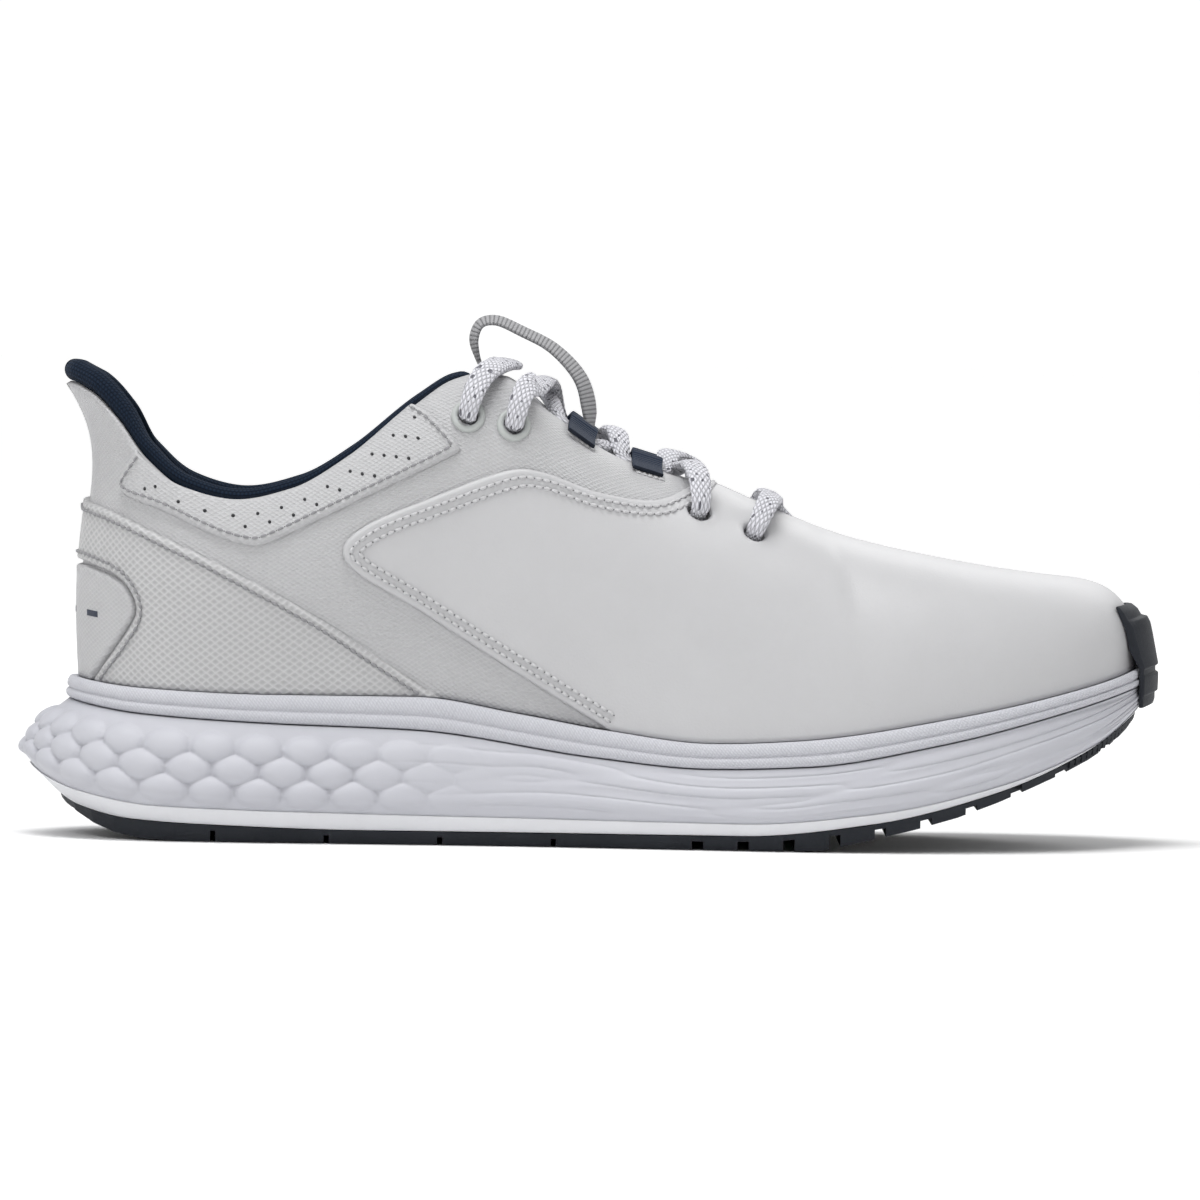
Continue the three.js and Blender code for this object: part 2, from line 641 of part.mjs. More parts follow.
// Stiffeners and linings.
const stiffener = { outer: STIFFENER_OUT, inner: STIFFENER_IN };
addNode('heel_counter', upperShell({ sides: [-1, 1], to: 3, high: 0.55, ...stiffener }), GREY, 0.8);
addNode('toe_puff', upperShell({ sides: [-1, 1], from: 9.6, ...stiffener }), GREY, 0.8);
const lining = { outer: LINING_OUT, inner: LINING_IN };
addNode('heel_lining', upperShell({ sides: [-1, 1], to: 4.4, high: 0.92, ...lining }), NAVY, 0.95);
const liningOutline = onUpper([[-24, 10], [-20, 62], [62, 62], [68, 110], [190, 110], [190, 10]]);
const foreLining = upperShell({ sides: [-1, 1], from: 5, ...lining });
addNode('vamp_lining', foreLining.intersect(sidePrism(liningOutline)), NAVY, 0.95);

// The padded roll round the collar, from one end of the eyestay to the other.
const ROLL_IN = QUARTER_IN - 2.6; // depth of the roll's centre
const ROLL_UP = 1.9; // height of the roll's centre above the collar edge
const ROLL_END = 4.9;
function rollSection(station, side) {
  const centre = offSurface(station, 1, side, ROLL_IN);
  const out = offSurface(station, 1, side, 0).sub(centre).normalize();
  const up = upperPoint(station, 1, side).sub(upperPoint(station, 0.96, side)).normalize();
  centre.addScaledVector(up, ROLL_UP);
  return range(0, 7, 7).map((k) => {
    const angle = (side * k * Math.PI) / 4;
    const p = centre.clone().addScaledVector(out, COLLAR_ROLL_R * Math.cos(angle));
    return p.addScaledVector(up, COLLAR_ROLL_R * Math.sin(angle));
  });
}
const rollStations = [...range(0, 4.5, 15), ROLL_END];
const rollSections = rollStations.slice().reverse().map((s) => rollSection(s, -1));
const mirrored = (section) => section.map((_, k) => section[(8 - k) % 8]);
rollSections.push(...rollStations.slice(1).map((s) => mirrored(rollSection(s, 1))));
addNode('collar_roll', sweep(rollSections), NAVY, 0.95);

// The rubber bumper round the toe, over the foxing and the front of the vamp.
const BUMPER_START = 11;
function bumperSection(station, side) {
  const share = 1 - 0.7 * (STATIONS - station) ** 2;
  const edge = featherZ(featherPoint(station, side).x);
  const beside = (out, z) => featherPoint(station, side, out).setZ(edge + z);
  const on = (height, out) => offSurface(station, height, side, out);
  return [
    beside(FOXING_OUT + GAP, -9.5),
    beside(FOXING_OUT + GAP + 1 + 0.6 * share, -9.5),
    beside(FOXING_OUT + GAP + 1 + 1.8 * share, -5),
    beside(FOXING_OUT + GAP + 1 + 1.8 * share, 1.5),
    on(0.24, 1.4 + 3 * share),
    on(0.38, 1.2),
    on(0.37, 0.5),
    on(0.2, 0.5),
    on(0.08, 0.8),
    beside(FOXING_OUT + GAP, 1),
  ];
}
const bumperStations = range(BUMPER_START, STATIONS, 5);
const bumper = bumperStations.map((s) => bumperSection(s, -1));
bumper.push(...bumperStations.slice(0, -1).reverse().map((s) => bumperSection(s, 1)));
addNode('toe_bumper', sweep(bumper), BLACK, 0.7);

// ---- Tongue ----

const tongueDepth = through(stretchX([
  [-40, 1.5], [-10, 1.5], [10, 3], [30, 4.5], [45, 5.8], [58, 7.5], [70, 7.5],
]));
const tongueHalf = through(stretchX([
  [-34, 13], [-27, 18.5], [-18, 20], [8, 18], [30, 16.5], [45, 14.5], [66, 10],
]));
const tongueDrop = through(stretchX([[-34, 7], [-24, 13.5], [8, 13.5], [30, 10.5], [45, 8], [66, 4]]));
const topZAtX = through(TOP_LINE.filter((row) => row[0] >= 5).map((row) => [alongX(row[1]), row[3]]));
function tongueTop(x, across) {
  const share = across / tongueHalf(x);
  const base = featherZ(x);
  const edge = base + (topZAtX(x) - base) * (x < alongX(57.5) ? COLLAR_SCALE : 1);
  return edge - tongueDepth(x) - tongueDrop(x) * share * share;
}
const tongueRows = [66, 56, 45, 33, 21, 9, -3, -14, -22, -28, -33].map(alongX).map((x) => {
  return [-1, -0.72, -0.38, 0, 0.38, 0.72, 1].map((share) => {
    const across = share * tongueHalf(x);
    return new THREE.Vector3(x, spineY(x) + across, tongueTop(x, across));
  });
});
const tongueSheet = gridSheet(tongueRows.map((row) => row.slice().reverse()));
addNode('tongue', toSolid(thicken(tongueSheet.points, tongueSheet.triangles, 0, -TONGUE)), WHITE, 0.6);

// The pull ribbon: a standing loop of webbing along the middle of the tongue.
const PULL_FOOT = 0.7; // clearance below its sewn ends, which lets it flop to either side
const pullFeet = [-30.5, -1.8].map(alongX);
const footZ = (x) => tongueTop(x, 0) + PULL_FOOT;
const pullY = spineY(pullFeet[0]);
const pullRise = [
  [0, 0], [-1.8, 4.5], [-2.6, 9], [-0.9, 12.9], [3, 13.8],
  [10.5, 10.8], [18.6, 5.2], [25.3, -2.6], [28.4, -9.5],
].map(([dx, dz]) => new THREE.Vector3(pullFeet[0] + dx, pullY, footZ(pullFeet[0]) + dz));
const pullEnd = new THREE.Vector3(pullFeet[1], pullY, footZ(pullFeet[1]));
const pullPath = new THREE.CatmullRomCurve3([...pullRise, pullEnd]);
const PULL_STEPS = 22;
const pullSections = range(0, 1, PULL_STEPS).map((t) => {
  const p = pullPath.getPointAt(t);
  const along = pullPath.getTangentAt(t);
  const out = new THREE.Vector3(-along.z, 0, along.x).multiplyScalar(PULL_WALL / 2);
  const half = Math.min(PULL_WIDTH / 2, 1.7 + Math.min(t, 1 - t) * 22);
  const across = new THREE.Vector3(0, half, 0);
  return [[-1, -1], [1, -1], [1, 1], [-1, 1]].map(([a, b]) => {
    return p.clone().addScaledVector(across, a).addScaledVector(out, b);
  });
});
addNode('pull_ribbon', sweep(pullSections), GREY, 0.85);

// ---- Lacing ----

// Rings round the two rear eyelets of each side.
eyelets.slice(0, 2).forEach((place, i) => {
  for (const side of [-1, 1]) {
    const profile = [
      new THREE.Vector2(EYELET_HOLE_R, 0),
      new THREE.Vector2(EYELET_RING_R, 0),
      new THREE.Vector2(EYELET_RING_R - 0.3, EYELET_RING_HEIGHT),
      new THREE.Vector2(EYELET_HOLE_R, EYELET_RING_HEIGHT),
    ];
    const ring = new THREE.LatheGeometry([...profile, profile[0]], 14);
    const foot = offSurface(place.station, place.height, side, QUARTER_OUT + 2 * GAP);
    const above = offSurface(place.station, place.height, side, QUARTER_OUT + 2);
    ring.applyQuaternion(turnTo(above.sub(foot)));
    ring.translate(foot.x, foot.y, foot.z);
    addNode(`eyelet_ring_${SIDE_NAMES[side]}_${i + 1}`, toSolid(ring), 0xb4bab4, 0.5);
  }
});

// Webbing loops on the edge of the eyestay, each round the lace.
const LOOP_EYE_R = LACE_R + GAP + LOOP_EASE;
const LOOP_OUT = LOOP_EYE_R + LOOP_WALL; // centre of the eye beyond the eyestay's edge
const LOOP_LEG = 8.5;
const loopStations = [-3.7, 13.5].map((x) => {
  const at = alongX(x);
  let [low, high] = [5, 7];
  for (let i = 0; i < 30; i += 1) {
    const middle = (low + high) / 2;
    if (alongX(topX(middle)) < at) low = middle;
    else high = middle;
  }
  return low;
});
// A point near the eyestay's edge: along the edge, out past it, and up from the quarter's middle.
function nearEdge(station, side, along, out, up) {
  const edge = offSurface(station, 1, side, (QUARTER_OUT + QUARTER_IN) / 2);
  const outer = offSurface(station, 1, side, 0).sub(edge).normalize();
  const behind = offSurface(station - 0.05, 1, side, 0);
  const ahead = offSurface(station + 0.05, 1, side, 0).sub(behind).normalize();
  const past = ahead.clone().cross(outer).multiplyScalar(side).normalize();
  return edge.addScaledVector(ahead, along).addScaledVector(past, out).addScaledVector(outer, up);
}
function laceLoop(station, side) {
  const half = QUARTER / 2 + GAP;
  const outline = (radius, leg) => {
    const arc = range(-130, 130, 8).map((degrees) => {
      const angle = THREE.MathUtils.degToRad(degrees);
      return [LOOP_OUT + radius * Math.cos(angle), radius * Math.sin(angle)];
    });
    const lift = half + radius - LOOP_EYE_R;
    return [[-leg * 0.3, -lift - 0.5], ...arc, [-leg * 0.5, lift + 0.1], [-leg, lift - 0.4]];
  };
  const outer = outline(LOOP_EYE_R + LOOP_WALL, LOOP_LEG);
  const inner = outline(LOOP_EYE_R, LOOP_LEG).reverse();
  return sweep(range(-LOOP_WIDTH / 2, LOOP_WIDTH / 2, 1).map((along) => {
    const section = [...outer, ...inner].map(([out, up]) => nearEdge(station, side, along, out, up));
    return side < 0 ? section : section.reverse();
  }));
}
loopStations.forEach((station, i) => {
  for (const side of [-1, 1]) {
    addNode(`lace_loop_${SIDE_NAMES[side]}_${i + 1}`, laceLoop(station, side), NAVY, 0.9);
  }
});

// The lace, from the end tucked inside at the first inner eyelet to the end tucked inside at the second.
const EDGE_STATIONS = [5.1, 5.36, 6.4, 7.05]; // where the lace of each eyelet passes the eyestay's edge
function throughEyelet(i, side, towards) {
  const place = eyelets[i];
  const surface = i < 2 ? QUARTER_OUT : 0;
  const s = place.station;
  const h = place.height;
  const edge = EDGE_STATIONS[i];
  const over = (t, lift) => {
    return offSurface(s + (edge - s) * t, h + (1 - h) * t, side, surface + LACE_R + lift);
  };
  return [
    over(1, 0.6), over(0.6, 1.9), over(0.28, 2.6),
    offSurface(s, h, side, surface + 2.2),
    offSurface(s, h, side, surface - 0.6),
    offSurface(s, h, side, QUARTER_IN - 0.4),
    offSurface(s + towards[0] * 0.3, h + towards[1] * 0.3, side, LACE_UNDER - 0.2),
    offSurface(s + towards[0], h + towards[1], side, LACE_UNDER - 0.3),
  ];
}
const towardsEyelet = (i, j) => [
  (eyelets[j].station - eyelets[i].station) * 0.4,
  (eyelets[j].height - eyelets[i].height) * 0.4,
];
function throughLoop(i, side) {
  return [-1, 0, 1].map((k) => nearEdge(loopStations[i], side, k * (LOOP_WIDTH / 2 + 1), LOOP_OUT, 0));
}
const STRAND = 2 * LACE_R + 2 * GAP;
const overTongue = (x, level) => {
  const at = alongX(x);
  return new THREE.Vector3(at, spineY(at), tongueTop(at, 0) + LACE_R + 3 * GAP + level * STRAND);
};
const crossings = [-12.4, 5, 19.6];
const tucked = [0.02, -0.12];
const tuckedEnd = (i) => {
  const { station, height } = eyelets[i];
  return [-0.22, -0.3].map((dh) => offSurface(station + 0.12, height + dh, 1, LACE_UNDER - 0.4));
};
const laceRoute = [
  ...tuckedEnd(0).reverse(),
  ...throughEyelet(0, 1, tucked).reverse(),
  overTongue(-23, 0.25),
  ...throughEyelet(0, -1, towardsEyelet(0, 1)),
  ...throughEyelet(1, -1, towardsEyelet(1, 0)).reverse(),
  overTongue(crossings[0], 1),
  ...throughLoop(0, 1),
  overTongue(crossings[1], 1),
  ...throughLoop(1, -1),
  overTongue(crossings[2], 1),
  ...throughEyelet(2, 1, towardsEyelet(2, 3)),
  ...throughEyelet(3, 1, towardsEyelet(3, 2)).reverse(),
  overTongue(50, 0.6),
  ...throughEyelet(3, -1, towardsEyelet(3, 2)),
  ...throughEyelet(2, -1, towardsEyelet(2, 3)).reverse(),
  overTongue(crossings[2], 0),
  ...throughLoop(1, 1).reverse(),
  overTongue(crossings[1], 0),
  ...throughLoop(0, -1).reverse(),
  overTongue(crossings[0], 0),
  ...throughEyelet(1, 1, tucked),
  ...tuckedEnd(1),
];
const laceCurve = new THREE.CatmullRomCurve3(laceRoute, false, 'centripetal');
const LACE_STEP = 3.4;
const LACE_SIDES = 6;
const laceSection = new THREE.Shape(range(0, LACE_SIDES - 1, LACE_SIDES - 1).map((k) => {
  const angle = (2 * Math.PI * k) / LACE_SIDES;
  return new THREE.Vector2(LACE_R * Math.cos(angle), LACE_R * Math.sin(angle));
}));
const lace = new THREE.ExtrudeGeometry(laceSection, {
  steps: Math.round(laceCurve.getLength() / LACE_STEP),
  extrudePath: laceCurve,
  bevelEnabled: false,
});
addNode('lace', toSolid(lace), WHITE, 0.9);

export default group;
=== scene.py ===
import math

import bmesh
import bpy
import numpy as np
from mathutils import Matrix, Vector
from mathutils.geometry import delaunay_2d_cdt


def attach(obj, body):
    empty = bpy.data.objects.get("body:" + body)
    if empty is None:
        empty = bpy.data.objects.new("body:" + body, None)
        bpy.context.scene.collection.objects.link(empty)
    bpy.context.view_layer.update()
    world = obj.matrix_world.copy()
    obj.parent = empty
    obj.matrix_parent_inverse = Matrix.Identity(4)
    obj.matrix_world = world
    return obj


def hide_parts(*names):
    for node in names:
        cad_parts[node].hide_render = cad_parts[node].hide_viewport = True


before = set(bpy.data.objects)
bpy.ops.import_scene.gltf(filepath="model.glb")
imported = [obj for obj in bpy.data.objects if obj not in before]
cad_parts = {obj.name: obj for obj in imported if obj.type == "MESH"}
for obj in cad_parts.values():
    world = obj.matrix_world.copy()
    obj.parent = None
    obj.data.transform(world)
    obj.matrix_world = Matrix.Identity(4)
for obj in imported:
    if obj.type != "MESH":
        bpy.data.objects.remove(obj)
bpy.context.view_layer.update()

MM = 0.001
LATERAL, MEDIAL = -1, 1
SIDES = (LATERAL, MEDIAL)
SIDE_NAME = {LATERAL: "lateral", MEDIAL: "medial"}

# Depths of the layers below the upper's outer surface, in millimetres, as in the CAD.
OVERLAY = 1.2
QUARTER_OUT = -1.5
QUARTER_IN = -3.0
LINING_OUT = -4.7
LINING_IN = -5.9


# ---------------------------------------------------------------- shape of the shoe

def through(rows, column=1):
    """A smooth function through a few [position, value, ...] rows, without overshoot."""
    at = np.array([row[0] for row in rows], float)
    value = np.array([row[column] for row in rows], float)
    slope = np.diff(value) / np.diff(at)
    tangent = np.zeros(len(at))
    tangent[0], tangent[-1] = slope[0], slope[-1]
    product = slope[:-1] * slope[1:]
    total = np.where(product > 0, slope[:-1] + slope[1:], 1)
    tangent[1:-1] = np.where(product > 0, 2 * product / total, 0)

    def curve(x):
        place = np.clip(np.asarray(x, float), at[0], at[-1])
        i = np.clip(np.searchsorted(at, place, side="left") - 1, 0, len(at) - 2)
        width = at[i + 1] - at[i]
        t = (place - at[i]) / width
        start = (1 + 2 * t) * (1 - t) ** 2 * value[i] + t * (1 - t) ** 2 * width * tangent[i]
        return start + t * t * (3 - 2 * t) * value[i + 1] + t * t * (t - 1) * width * tangent[i + 1]

    return curve


def lengths_along(points):
    """How far along a line each of its points is."""
    return np.concatenate([[0], np.cumsum(np.linalg.norm(np.diff(points, axis=0), axis=1))])


def unit_rows(v):
    return v / np.linalg.norm(v, axis=-1, keepdims=True)


def centripetal(p0, p1, p2, p3):
    """Coefficients of a cubic from p1 to p2 that comes from p0 and goes on to p3."""
    d0, d1, d2 = (
        np.maximum(np.linalg.norm(b - a, axis=-1, keepdims=True) ** 0.5, 1e-3)
        for a, b in ((p0, p1), (p1, p2), (p2, p3))
    )
    t1 = ((p1 - p0) / d0 - (p2 - p0) / (d0 + d1) + (p2 - p1) / d1) * d1
    t2 = ((p2 - p1) / d1 - (p3 - p1) / (d1 + d2) + (p3 - p2) / d2) * d1
    return p1, t1, -3 * p1 + 3 * p2 - 2 * t1 - t2, 2 * p1 - 2 * p2 + t1 + t2


feather_z = through([
    [-150, 44], [-120, 40.2], [-85, 39], [-47, 39], [-20, 35], [5, 30.8], [31, 28], [53, 29], [96, 35.6],
    [134, 44.2], [152, 50],
])
groove_z = through([
    [-150, 38], [-120, 33.4], [-85, 31.4], [-47, 30.2], [0, 23.8], [30, 21.3], [57, 22.3], [91, 28.2],
    [125, 36.8], [152, 45],
])
rim_top_z = through([
    [-152, 19.6], [-146, 16.2], [-136, 12.7], [-116, 9.4], [-80, 8.3], [-20, 7.5], [40, 7.1], [74, 10.1],
    [108, 17.8], [134, 28.4], [150, 41],
])
rim_bottom_z = through([
    [-150, 17], [-142.6, 11.4], [-136, 8.4], [-122, 5.6], [-99, 4.5], [-60, 3.6], [40, 3.9], [74, 7.5],
    [106, 15.6], [130, 25.8], [150, 39.5],
])
# The feather line in plan: outer x and y, inner x and y, one row a station.
FEATHER = [
    [-138, 0, -138, 0],
    [-132, -18, -132, 18],
    [-118, -29, -118, 28.5],
    [-95, -33.5, -95, 31.5],
    [-60, -34.5, -60, 29.5],
    [-20, -37, -20, 30],
    [20, -43, 20, 36.5],
    [55, -48, 55, 44.5],
    [85, -47, 85, 47.5],
    [112, -39, 112, 43.5],
    [132, -25, 132, 33.5],
    [142.5, -9, 142.5, 20],
    [145.5, 6, 145.5, 6],
]
STATIONS = 12


def loop_coefficients():
    points = [row[:2] for row in FEATHER] + [row[2:] for row in FEATHER[-2:0:-1]]
    p = np.array(points, float)
    return centripetal(*(np.roll(p, shift, axis=0) for shift in (1, 0, -1, -2)))


LOOP = loop_coefficients()


def feather_loop(place):
    place = np.mod(place, 1) * len(LOOP[0])
    i = np.floor(place).astype(int) % len(LOOP[0])
    t = (place - np.floor(place))[..., None]
    return LOOP[0][i] + LOOP[1][i] * t + LOOP[2][i] * t**2 + LOOP[3][i] * t**3


def feather_point(station, side, out=0.0):
    """A point on the feather line in plan, moved outwards."""
    station = np.asarray(station, float)
    place = np.where(side < 0, station, 2 * STATIONS - station) / (2 * STATIONS)
    p = feather_loop(place)
    along = unit_rows(feather_loop(place + 0.002) - feather_loop(place - 0.002))
    out = np.asarray(out, float)
    return np.stack([p[..., 0] + along[..., 1] * out, p[..., 1] - along[..., 0] * out], -1)


THROAT_END = 7.6
TOP_LINE = [
    [0, -143.3, 0, 119.4],
    [0.5, -141.6, 6.5, 119.2],
    [1, -136.8, 12.5, 117.1],
    [1.5, -129.5, 18, 110.8],
    [2, -120.5, 23, 100.9],
    [2.5, -109.5, 27.5, 93.5],
    [3, -95, 30, 90.3],
    [3.5, -80.5, 31, 93.4],
    [4, -65.5, 30.5, 102.2],
    [4.5, -48.6, 27.5, 116.6],
    [4.8, -38, 25, 123.9],
    [5, -31, 23.5, 125.6],
    [5.2, -24, 21.5, 124.8],
    [5.5, -11, 18.5, 115.1],
    [6, 6.8, 15.5, 103.8],
    [6.5, 28, 13, 97.2],
    [7, 45, 10.5, 90],
    [7.4, 54.5, 5.5, 86.2],
    [THROAT_END, 57.5, 0, 85],
    [8, 66, 0, 82],
    [9, 84, 0, 77.5],
    [10, 101, 0, 74.3],
    [11, 114, 0, 72.6],
    [12, 119, 0, 72.1],
]
top_x = through(TOP_LINE, 1)
top_half = through(TOP_LINE, 2)
top_z = through(TOP_LINE, 3)
spine_y = through([[-140, 0], [-60, -1.5], [0, -2], [60, -0.5], [100, 3], [140, 6]])
roundness = through([[0, 0], [3, 0.1], [4, 0.3], [5, 0.75], [6, 0.85], [8, 1], [12, 1]])
squareness = through([[0, 2], [7, 2], [9, 2.2], [12, 3]])
side_bulge = through([[0, 0], [1, 0.5], [2, 2.5], [3, 3.5], [5, 5], [6, 5], [8, 2.5], [10, 0], [12, 0]])
heel_hollow = through([[0, 5.6], [1, 4.5], [2, 1.5], [3, 0], [12, 0]])


def upper_point(station, height, side):
    """The outer surface of the upper: height runs from the feather line, 0, to the top line, 1."""
    s, h, side = np.broadcast_arrays(*(np.asarray(v, float) for v in (station, height, side)))
    h = np.clip(h, 0, 1)
    out = side_bulge(s) * np.sin(np.pi * h**1.5) - heel_hollow(s) * np.sin(np.pi * h**2.6)
    low, base = feather_point(s, side, out), feather_point(s, side)
    x = top_x(s)
    base_z = feather_z(base[..., 0])
    power = 2 / squareness(s)
    angle = np.pi / 2 * h
    curved = roundness(s)
    inward = (1 - curved) * h + curved * (1 - np.maximum(np.cos(angle), 0) ** power)
    upward = (1 - curved) * h + curved * np.sin(angle) ** power
    top_y = spine_y(x) + side * top_half(s)
    return np.stack([
        low[..., 0] + (x - base[..., 0]) * inward,
        low[..., 1] + (top_y - base[..., 1]) * inward,
        base_z + (top_z(s) - base_z) * upward,
    ], -1)


def off_surface(station, height, side, out):
    s, h, side = np.broadcast_arrays(*(np.asarray(v, float) for v in (station, height, side)))
    d = 0.02
    top = np.clip(h, 0, 1 - 2 * d)
    along = upper_point(s + d, top, side) - upper_point(s - d, top, side)
    up = upper_point(s, top + d, side) - upper_point(s, np.maximum(top - d, 0), side)
    normal = unit_rows(np.cross(along, up) * -side[..., None])
    return upper_point(s, h, side) + normal * np.asarray(out, float)[..., None]


# A fine table of the outer side, for finding where a side-view point lies.
TABLE_S = np.linspace(0, STATIONS, 601)
TABLE_H = np.linspace(0, 1, 121)
TABLE = upper_point(TABLE_S[:, None], TABLE_H[None, :], LATERAL)
LENGTH_AT = lengths_along(TABLE[:, 48])
RISE_AT = np.concatenate([
    np.zeros((len(TABLE_S), 1)),
    np.cumsum(np.linalg.norm(np.diff(TABLE, axis=1), axis=2), axis=1),
], axis=1)


def surface_uv(s, h):
    """Millimetres along the shoe and up it, for grain, weave and emboss."""
    u = np.interp(s, TABLE_S, LENGTH_AT)
    si = np.clip(s / STATIONS * (len(TABLE_S) - 1), 0, len(TABLE_S) - 1.001)
    hi = np.clip(h * (len(TABLE_H) - 1), 0, len(TABLE_H) - 1.001)
    a, b = si.astype(int), hi.astype(int)
    fa, fb = si - a, hi - b
    low = RISE_AT[a, b] * (1 - fb) + RISE_AT[a, b + 1] * fb
    high = RISE_AT[a + 1, b] * (1 - fb) + RISE_AT[a + 1, b + 1] * fb
    return np.stack([u, low * (1 - fa) + high * fa], -1)


def place_on_upper(points):
    """Stations and heights whose side view lies at these x and z, in millimetres."""
    flat = TABLE[:, :, [0, 2]].reshape(-1, 2)
    found = []
    for x, z in points:
        i = int(np.argmin((flat[:, 0] - x) ** 2 + (flat[:, 1] - z) ** 2))
        s, h = TABLE_S[i // len(TABLE_H)], TABLE_H[i % len(TABLE_H)]
        for _ in range(4):
            p = upper_point(s, h, LATERAL)[[0, 2]]
            ds = (upper_point(s + 0.01, h, LATERAL)[[0, 2]] - p) / 0.01
            dh = (upper_point(s, min(h + 0.01, 1), LATERAL)[[0, 2]] - p) / max(min(h + 0.01, 1) - h, 1e-3)
            m = np.array([ds, dh]).T
            if abs(np.linalg.det(m)) < 1 or h >= 1:
                break
            step = np.linalg.solve(m, np.array([x, z]) - p)
            s = float(np.clip(s + np.clip(step[0], -0.05, 0.05), 0, STATIONS))
            h = float(np.clip(h + np.clip(step[1], -0.02, 0.02), 0, 1))
        found.append((s, h))
    return np.array(found)


def spline(points, step):
    """A smooth open line through points, with about one step between its points."""
    p = np.array(points, float)
    p = np.vstack([2 * p[0] - p[1], p, 2 * p[-1] - p[-2]])
    line = []
    for i in range(1, len(p) - 2):
        count = max(1, int(round(np.linalg.norm(p[i + 1] - p[i]) / step)))
        t = (np.arange(count) / count)[:, None]
        a, b, c, d = p[i - 1 : i + 3]
        line.append(
            0.5 * (2 * b + (c - a) * t + (2 * a - 5 * b + 4 * c - d) * t**2 + (3 * b - a - 3 * c + d) * t**3)
        )
    return np.vstack(line + [p[-2][None]])


# ---------------------------------------------------------------- materials

def node_material(name, color, roughness, **inputs):
    m = bpy.data.materials.new(name)
    m.use_nodes = True
    shader = m.node_tree.nodes["Principled BSDF"]
    shader.inputs["Base Color"].default_value = (*color, 1)
    shader.inputs["Roughness"].default_value = roughness
    for key, value in inputs.items():
        shader.inputs[key.replace("_", " ").title().replace("Ior", "IOR")].default_value = value
    return m, m.node_tree, shader


def math_node(tree, kind, a, b=None):
    n = tree.nodes.new("ShaderNodeMath")
    n.operation = kind
    for i, value in enumerate((a, b)):
        if value is None:
            continue
        if isinstance(value, (int, float)):
            n.inputs[i].default_value = value
        else:
            tree.links.new(value, n.inputs[i])
    return n.outputs[0]


def times(tree, a, b):
    return math_node(tree, "MULTIPLY", a, b)


def plus(tree, a, b):
    return math_node(tree, "ADD", a, b)


def noise(tree, vector, scale, detail=4, rough=0.6):
    n = tree.nodes.new("ShaderNodeTexNoise")
    n.inputs["Scale"].default_value = scale
    n.inputs["Detail"].default_value = detail
    n.inputs["Roughness"].default_value = rough
    tree.links.new(vector, n.inputs["Vector"])
    return n.outputs["Fac"]


def bump(tree, shader, height, distance, strength=1.0):
    n = tree.nodes.new("ShaderNodeBump")
    n.inputs["Distance"].default_value = distance
    n.inputs["Strength"].default_value = strength
    tree.links.new(height, n.inputs["Height"])
    tree.links.new(n.outputs["Normal"], shader.inputs["Normal"])


def tint(tree, shader, factor, dark, light):
    """Colour that varies a little with a texture."""
    n = tree.nodes.new("ShaderNodeMix")
    n.data_type = "RGBA"
    n.inputs["A"].default_value = (*dark, 1)
    n.inputs["B"].default_value = (*light, 1)
    tree.links.new(factor, n.inputs["Factor"])
    tree.links.new(n.outputs["Result"], shader.inputs["Base Color"])


def map_range(tree, value, source, target, smooth=False):
    n = tree.nodes.new("ShaderNodeMapRange")
    if smooth:
        n.interpolation_type = "SMOOTHSTEP"
    for name, number in zip(("From Min", "From Max", "To Min", "To Max"), (*source, *target)):
        n.inputs[name].default_value = number
    tree.links.new(value, n.inputs["Value"])
    return n.outputs["Result"]


def vary_roughness(tree, shader, factor, low, high):
    tree.links.new(map_range(tree, factor, (0, 1), (low, high)), shader.inputs["Roughness"])


def object_space(tree):
    return tree.nodes.new("ShaderNodeTexCoord").outputs["Object"]


def uv_space(tree):
    n = tree.nodes.new("ShaderNodeSeparateXYZ")
    source = tree.nodes.new("ShaderNodeTexCoord")
    tree.links.new(source.outputs["UV"], n.inputs["Vector"])
    return n.outputs["X"], n.outputs["Y"], source.outputs["UV"]


UPPER_WHITE = (0.52, 0.52, 0.53)
UPPER_LIGHT = (0.53, 0.53, 0.54)
UPPER_DARK = (0.47, 0.47, 0.48)


def smooth_leather(name="smooth_leather", dark=UPPER_DARK, light=UPPER_LIGHT):
    m, tree, shader = node_material(name, UPPER_WHITE, 0.42, specular_ior_level=0.45)
    space = object_space(tree)
    broad = noise(tree, space, 25, 3)
    tint(tree, shader, broad, dark, light)
    fine = noise(tree, space, 2600, 3, 0.7)
    vary_roughness(tree, shader, fine, 0.36, 0.52)
    cell = tree.nodes.new("ShaderNodeTexVoronoi")
    cell.inputs["Scale"].default_value = 1500
    tree.links.new(space, cell.inputs["Vector"])
    grain = plus(tree, times(tree, fine, 0.7), cell.outputs["Distance"])
    soft = times(tree, noise(tree, space, 32, 2, 0.5), 14.0)
    bump(tree, shader, plus(tree, grain, soft), 0.00006, 0.6)
    return m


GRAIN_DEPTH = 0.000015


def emboss_material(name, height_of, depth, dark, light, roughness=(0.4, 0.6)):
    """Leather with a pattern pressed into it, worked out from millimetres along and up the surface."""
    m, tree, shader = node_material(name, UPPER_WHITE, 0.5, specular_ior_level=0.4)
    u, v, _ = uv_space(tree)
    height = height_of(tree, u, v)
    fine = noise(tree, object_space(tree), 2200, 3, 0.7)
    # Colour follows the pattern's height: darker in the pressed-in low parts and lighter on the raised parts.
    # This is painted shade and painted light.
    tint(tree, shader, height, dark, light)
    vary_roughness(tree, shader, fine, *roughness)
    total = plus(tree, height, times(tree, fine, GRAIN_DEPTH / depth))
    bump(tree, shader, total, depth, 1.0)
    return m


def wave(tree, value, pitch, power=1.0):
    """1 in the middle of each pitch and 0 at its ends."""
    turned = times(tree, value, math.pi / pitch)
    height = math_node(tree, "ABSOLUTE", math_node(tree, "SINE", turned))
    return math_node(tree, "POWER", height, power)


